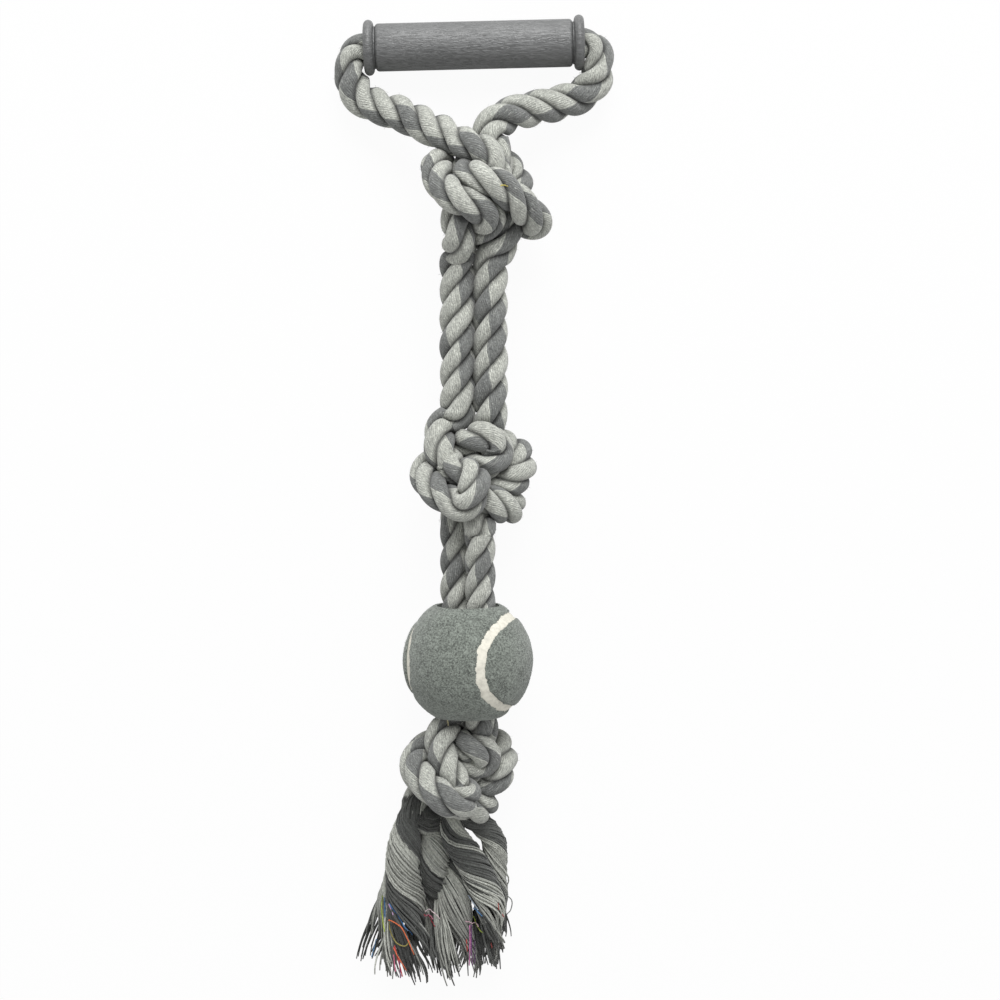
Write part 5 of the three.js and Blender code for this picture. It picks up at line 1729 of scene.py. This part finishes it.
# %% The coloured threads as seen from above
# Each row: the colour on a screen, and points (x, y) in mm as seen from above.
THREADS = [
    ((172, 190, 72), [(-47, 43.5), (-47.5, 35), (-45.5, 26)]),
    ((70, 122, 178), [(-46, 42), (-45.5, 32)]),
    ((70, 122, 178), [(-43, 41), (-37.5, 33.5), (-31.5, 24.5)]),
    ((80, 125, 165), [(-50, 21), (-52.5, 12)]),
    ((226, 112, 62), [(-43.5, 33), (-37.5, 30.5), (-34, 24.5), (-30.5, 15.5)]),
    ((222, 105, 65), [(-41, 18.5), (-38, 13), (-34.5, 6.5)]),
    ((190, 150, 190), [(-43.5, 41), (-41, 36)]),
    ((150, 140, 72), [(-43, 33), (-43, 27.5), (-39.5, 21.5), (-35, 20), (-32.5, 23)]),
    ((200, 50, 62), [(-40.5, 19.5), (-38.5, 12), (-36.5, 3.5)]),
    ((215, 120, 150), [(-41, 15), (-40, 6.5)]),
    ((120, 60, 112), [(-38, 12), (-37.5, 3)]),
    ((222, 204, 208), [(-25, 36.5), (-21, 35.5), (-17.5, 32.5)]),
    ((172, 42, 56), [(-25.5, 35), (-23, 32), (-20, 29)]),
    ((202, 112, 142), [(-25, 34), (-21, 32.5)]),
    ((186, 200, 216), [(-3, 45), (-1, 42), (2, 38)]),
    ((80, 130, 180), [(-0.5, 39), (4, 35)]),
    ((165, 185, 75), [(-0.5, 33), (1.5, 27.5), (5.5, 24.5)]),
    ((216, 180, 190), [(-4.5, 32), (2, 28.5)]),
    ((112, 62, 116), [(-1.5, 29.5), (-1.5, 19.5), (-1, 9)]),
    ((205, 122, 175), [(-2.4, 29.5), (-2.2, 21), (-2.6, 9)]),
    ((84, 52, 92), [(0.2, 22), (0.2, 10)]),
    ((166, 62, 56), [(-4, 23), (-3.5, 16.5)]),
    ((152, 62, 56), [(12, 41.5), (12.5, 38)]),
    ((152, 62, 56), [(14, 35.5), (15, 33.5)]),
    ((152, 62, 56), [(8.5, 20.5), (9, 18)]),
    ((120, 122, 120), [(16.5, 44.5), (19, 42), (18.5, 37), (16.5, 34.5)]),
]
print(len(THREADS), "coloured threads")

# %% Laying the threads on the hanks
THREAD = 0.3
THREAD_STEPS = 20


def laid_on(places, points):
    """A line drawn from above, set on the highest of the places near each of its points."""
    flat = even_points(smooth_line([(x, y, 0) for x, y in points]), THREAD_STEPS)
    away = np.hypot(*(places[None, :, :2] - flat[:, None, :2]).transpose(2, 0, 1))
    nearest = np.argpartition(away, 16, axis=1)[:, :16]
    height = places[nearest, 2].max(1)
    for _ in range(3):
        height = np.maximum(height, (np.roll(height, 1) + np.roll(height, -1)) / 2)
    flat[:, 2] = height + YARN
    return flat


def threads(name, body, places, rows):
    """Threads laid on the given places, as one piece on a body."""
    lines = np.array([laid_on(places, points) for _, points in rows])
    colours = np.array([[linear(*colour)[:3]] * THREAD_STEPS for colour, _ in rows])
    made = tinted(name, lines, np.full(lines.shape[:2], THREAD), colours)
    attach(made, body)
    return made


coloured = threads("coloured_threads", "ball_end", np.vstack(yarn_places), THREADS)
hanks.append(coloured)
for name, body, knot, row in (
    (
        "yellow_fibre", "top_knot", "top_knot",
        ((205, 190, 95), [(13.2, 398.8), (15, 399.3), (16.8, 398.6)]),
    ),
    ("pale_fibre", "ball_end", "bottom_knot", ((225, 215, 170), [(-13.2, 138.5), (-12.6, 134.5)])),
):
    near = [corners_of(ropes[f"{knot}_{hand}_rope"]) for hand in ("left", "right")]
    places = np.vstack(near) / MM - TO_FRAME / MM
    fibre = threads(name, body, places, [row])
    hanks.append(fibre)
print("threads and 2 stray fibres laid on")

# %% The yarns' cotton
yarn_cotton, tree, shader, spot = new_material("yarn cotton", **COTTON)
place = stretched(tree, spot, 1.0, 0.35, 1.0)
hairs = placed_group(tree, fuzz, Place=place, Fineness=1500.0, Amount=0.34)
finish(tree, shader, attribute(tree, "Tint", "Color"), hairs["Shade"], hairs["Height"], 0.0004, 0.6)
for hank in hanks:
    hank.data.materials.append(yarn_cotton)
print(yarn_cotton.name)

# %% [markdown]
# ## Table and light
#
# The toy lies on white, lit softly from beyond the grip, so each round form is lighter on its upper
# side in the picture. The table shows its own white to the camera and only hints at the shadow.

# %% Table
bpy.ops.object.select_all(action="DESELECT")
bpy.ops.mesh.primitive_plane_add(size=6, location=(0, 0, 0))
table = bpy.context.object
table.name = "table"
paper = bpy.data.materials.new("white paper")
paper.use_nodes = True
tree = paper.node_tree
shader = tree.nodes["Principled BSDF"]
shader.inputs["Base Color"].default_value = (0.8, 0.8, 0.8, 1)
shader.inputs["Roughness"].default_value = 1.0
glow = tree.nodes.new("ShaderNodeEmission")
glow.inputs["Color"].default_value = (1, 1, 1, 1)
seen = tree.nodes.new("ShaderNodeLightPath").outputs["Is Camera Ray"]
both = tree.nodes.new("ShaderNodeMixShader")
tree.links.new(calc(tree, "MULTIPLY", seen, 0.95), both.inputs[0])
tree.links.new(shader.outputs[0], both.inputs[1])
tree.links.new(glow.outputs[0], both.inputs[2])
tree.links.new(both.outputs[0], tree.nodes["Material Output"].inputs["Surface"])
table.data.materials.append(paper)
print("table with", paper.name)

# %% Light
def soft_lamp(name, place, size, power):
    bpy.ops.object.light_add(type="AREA", location=place)
    lamp = bpy.context.object
    lamp.name = name
    lamp.data.shape = "DISK"
    lamp.data.size = size
    lamp.data.energy = power
    lamp.rotation_euler = (Vector((0, 0, 0.03)) - lamp.location).to_track_quat("-Z", "Y").to_euler()
    return lamp


soft_lamp("window", (0.15, 1.5, 1.3), 1.3, 34)
room = bpy.data.worlds.new("room")
scene.world = room
room.use_nodes = True
room.node_tree.nodes["Background"].inputs["Color"].default_value = (1, 1, 1, 1)
tree = room.node_tree
seen = tree.nodes.new("ShaderNodeLightPath").outputs["Is Camera Ray"]
tree.links.new(calc(tree, "MULTIPLY_ADD", seen, 0.4, 0.55), tree.nodes["Background"].inputs["Strength"])
print("one lamp and an even room")
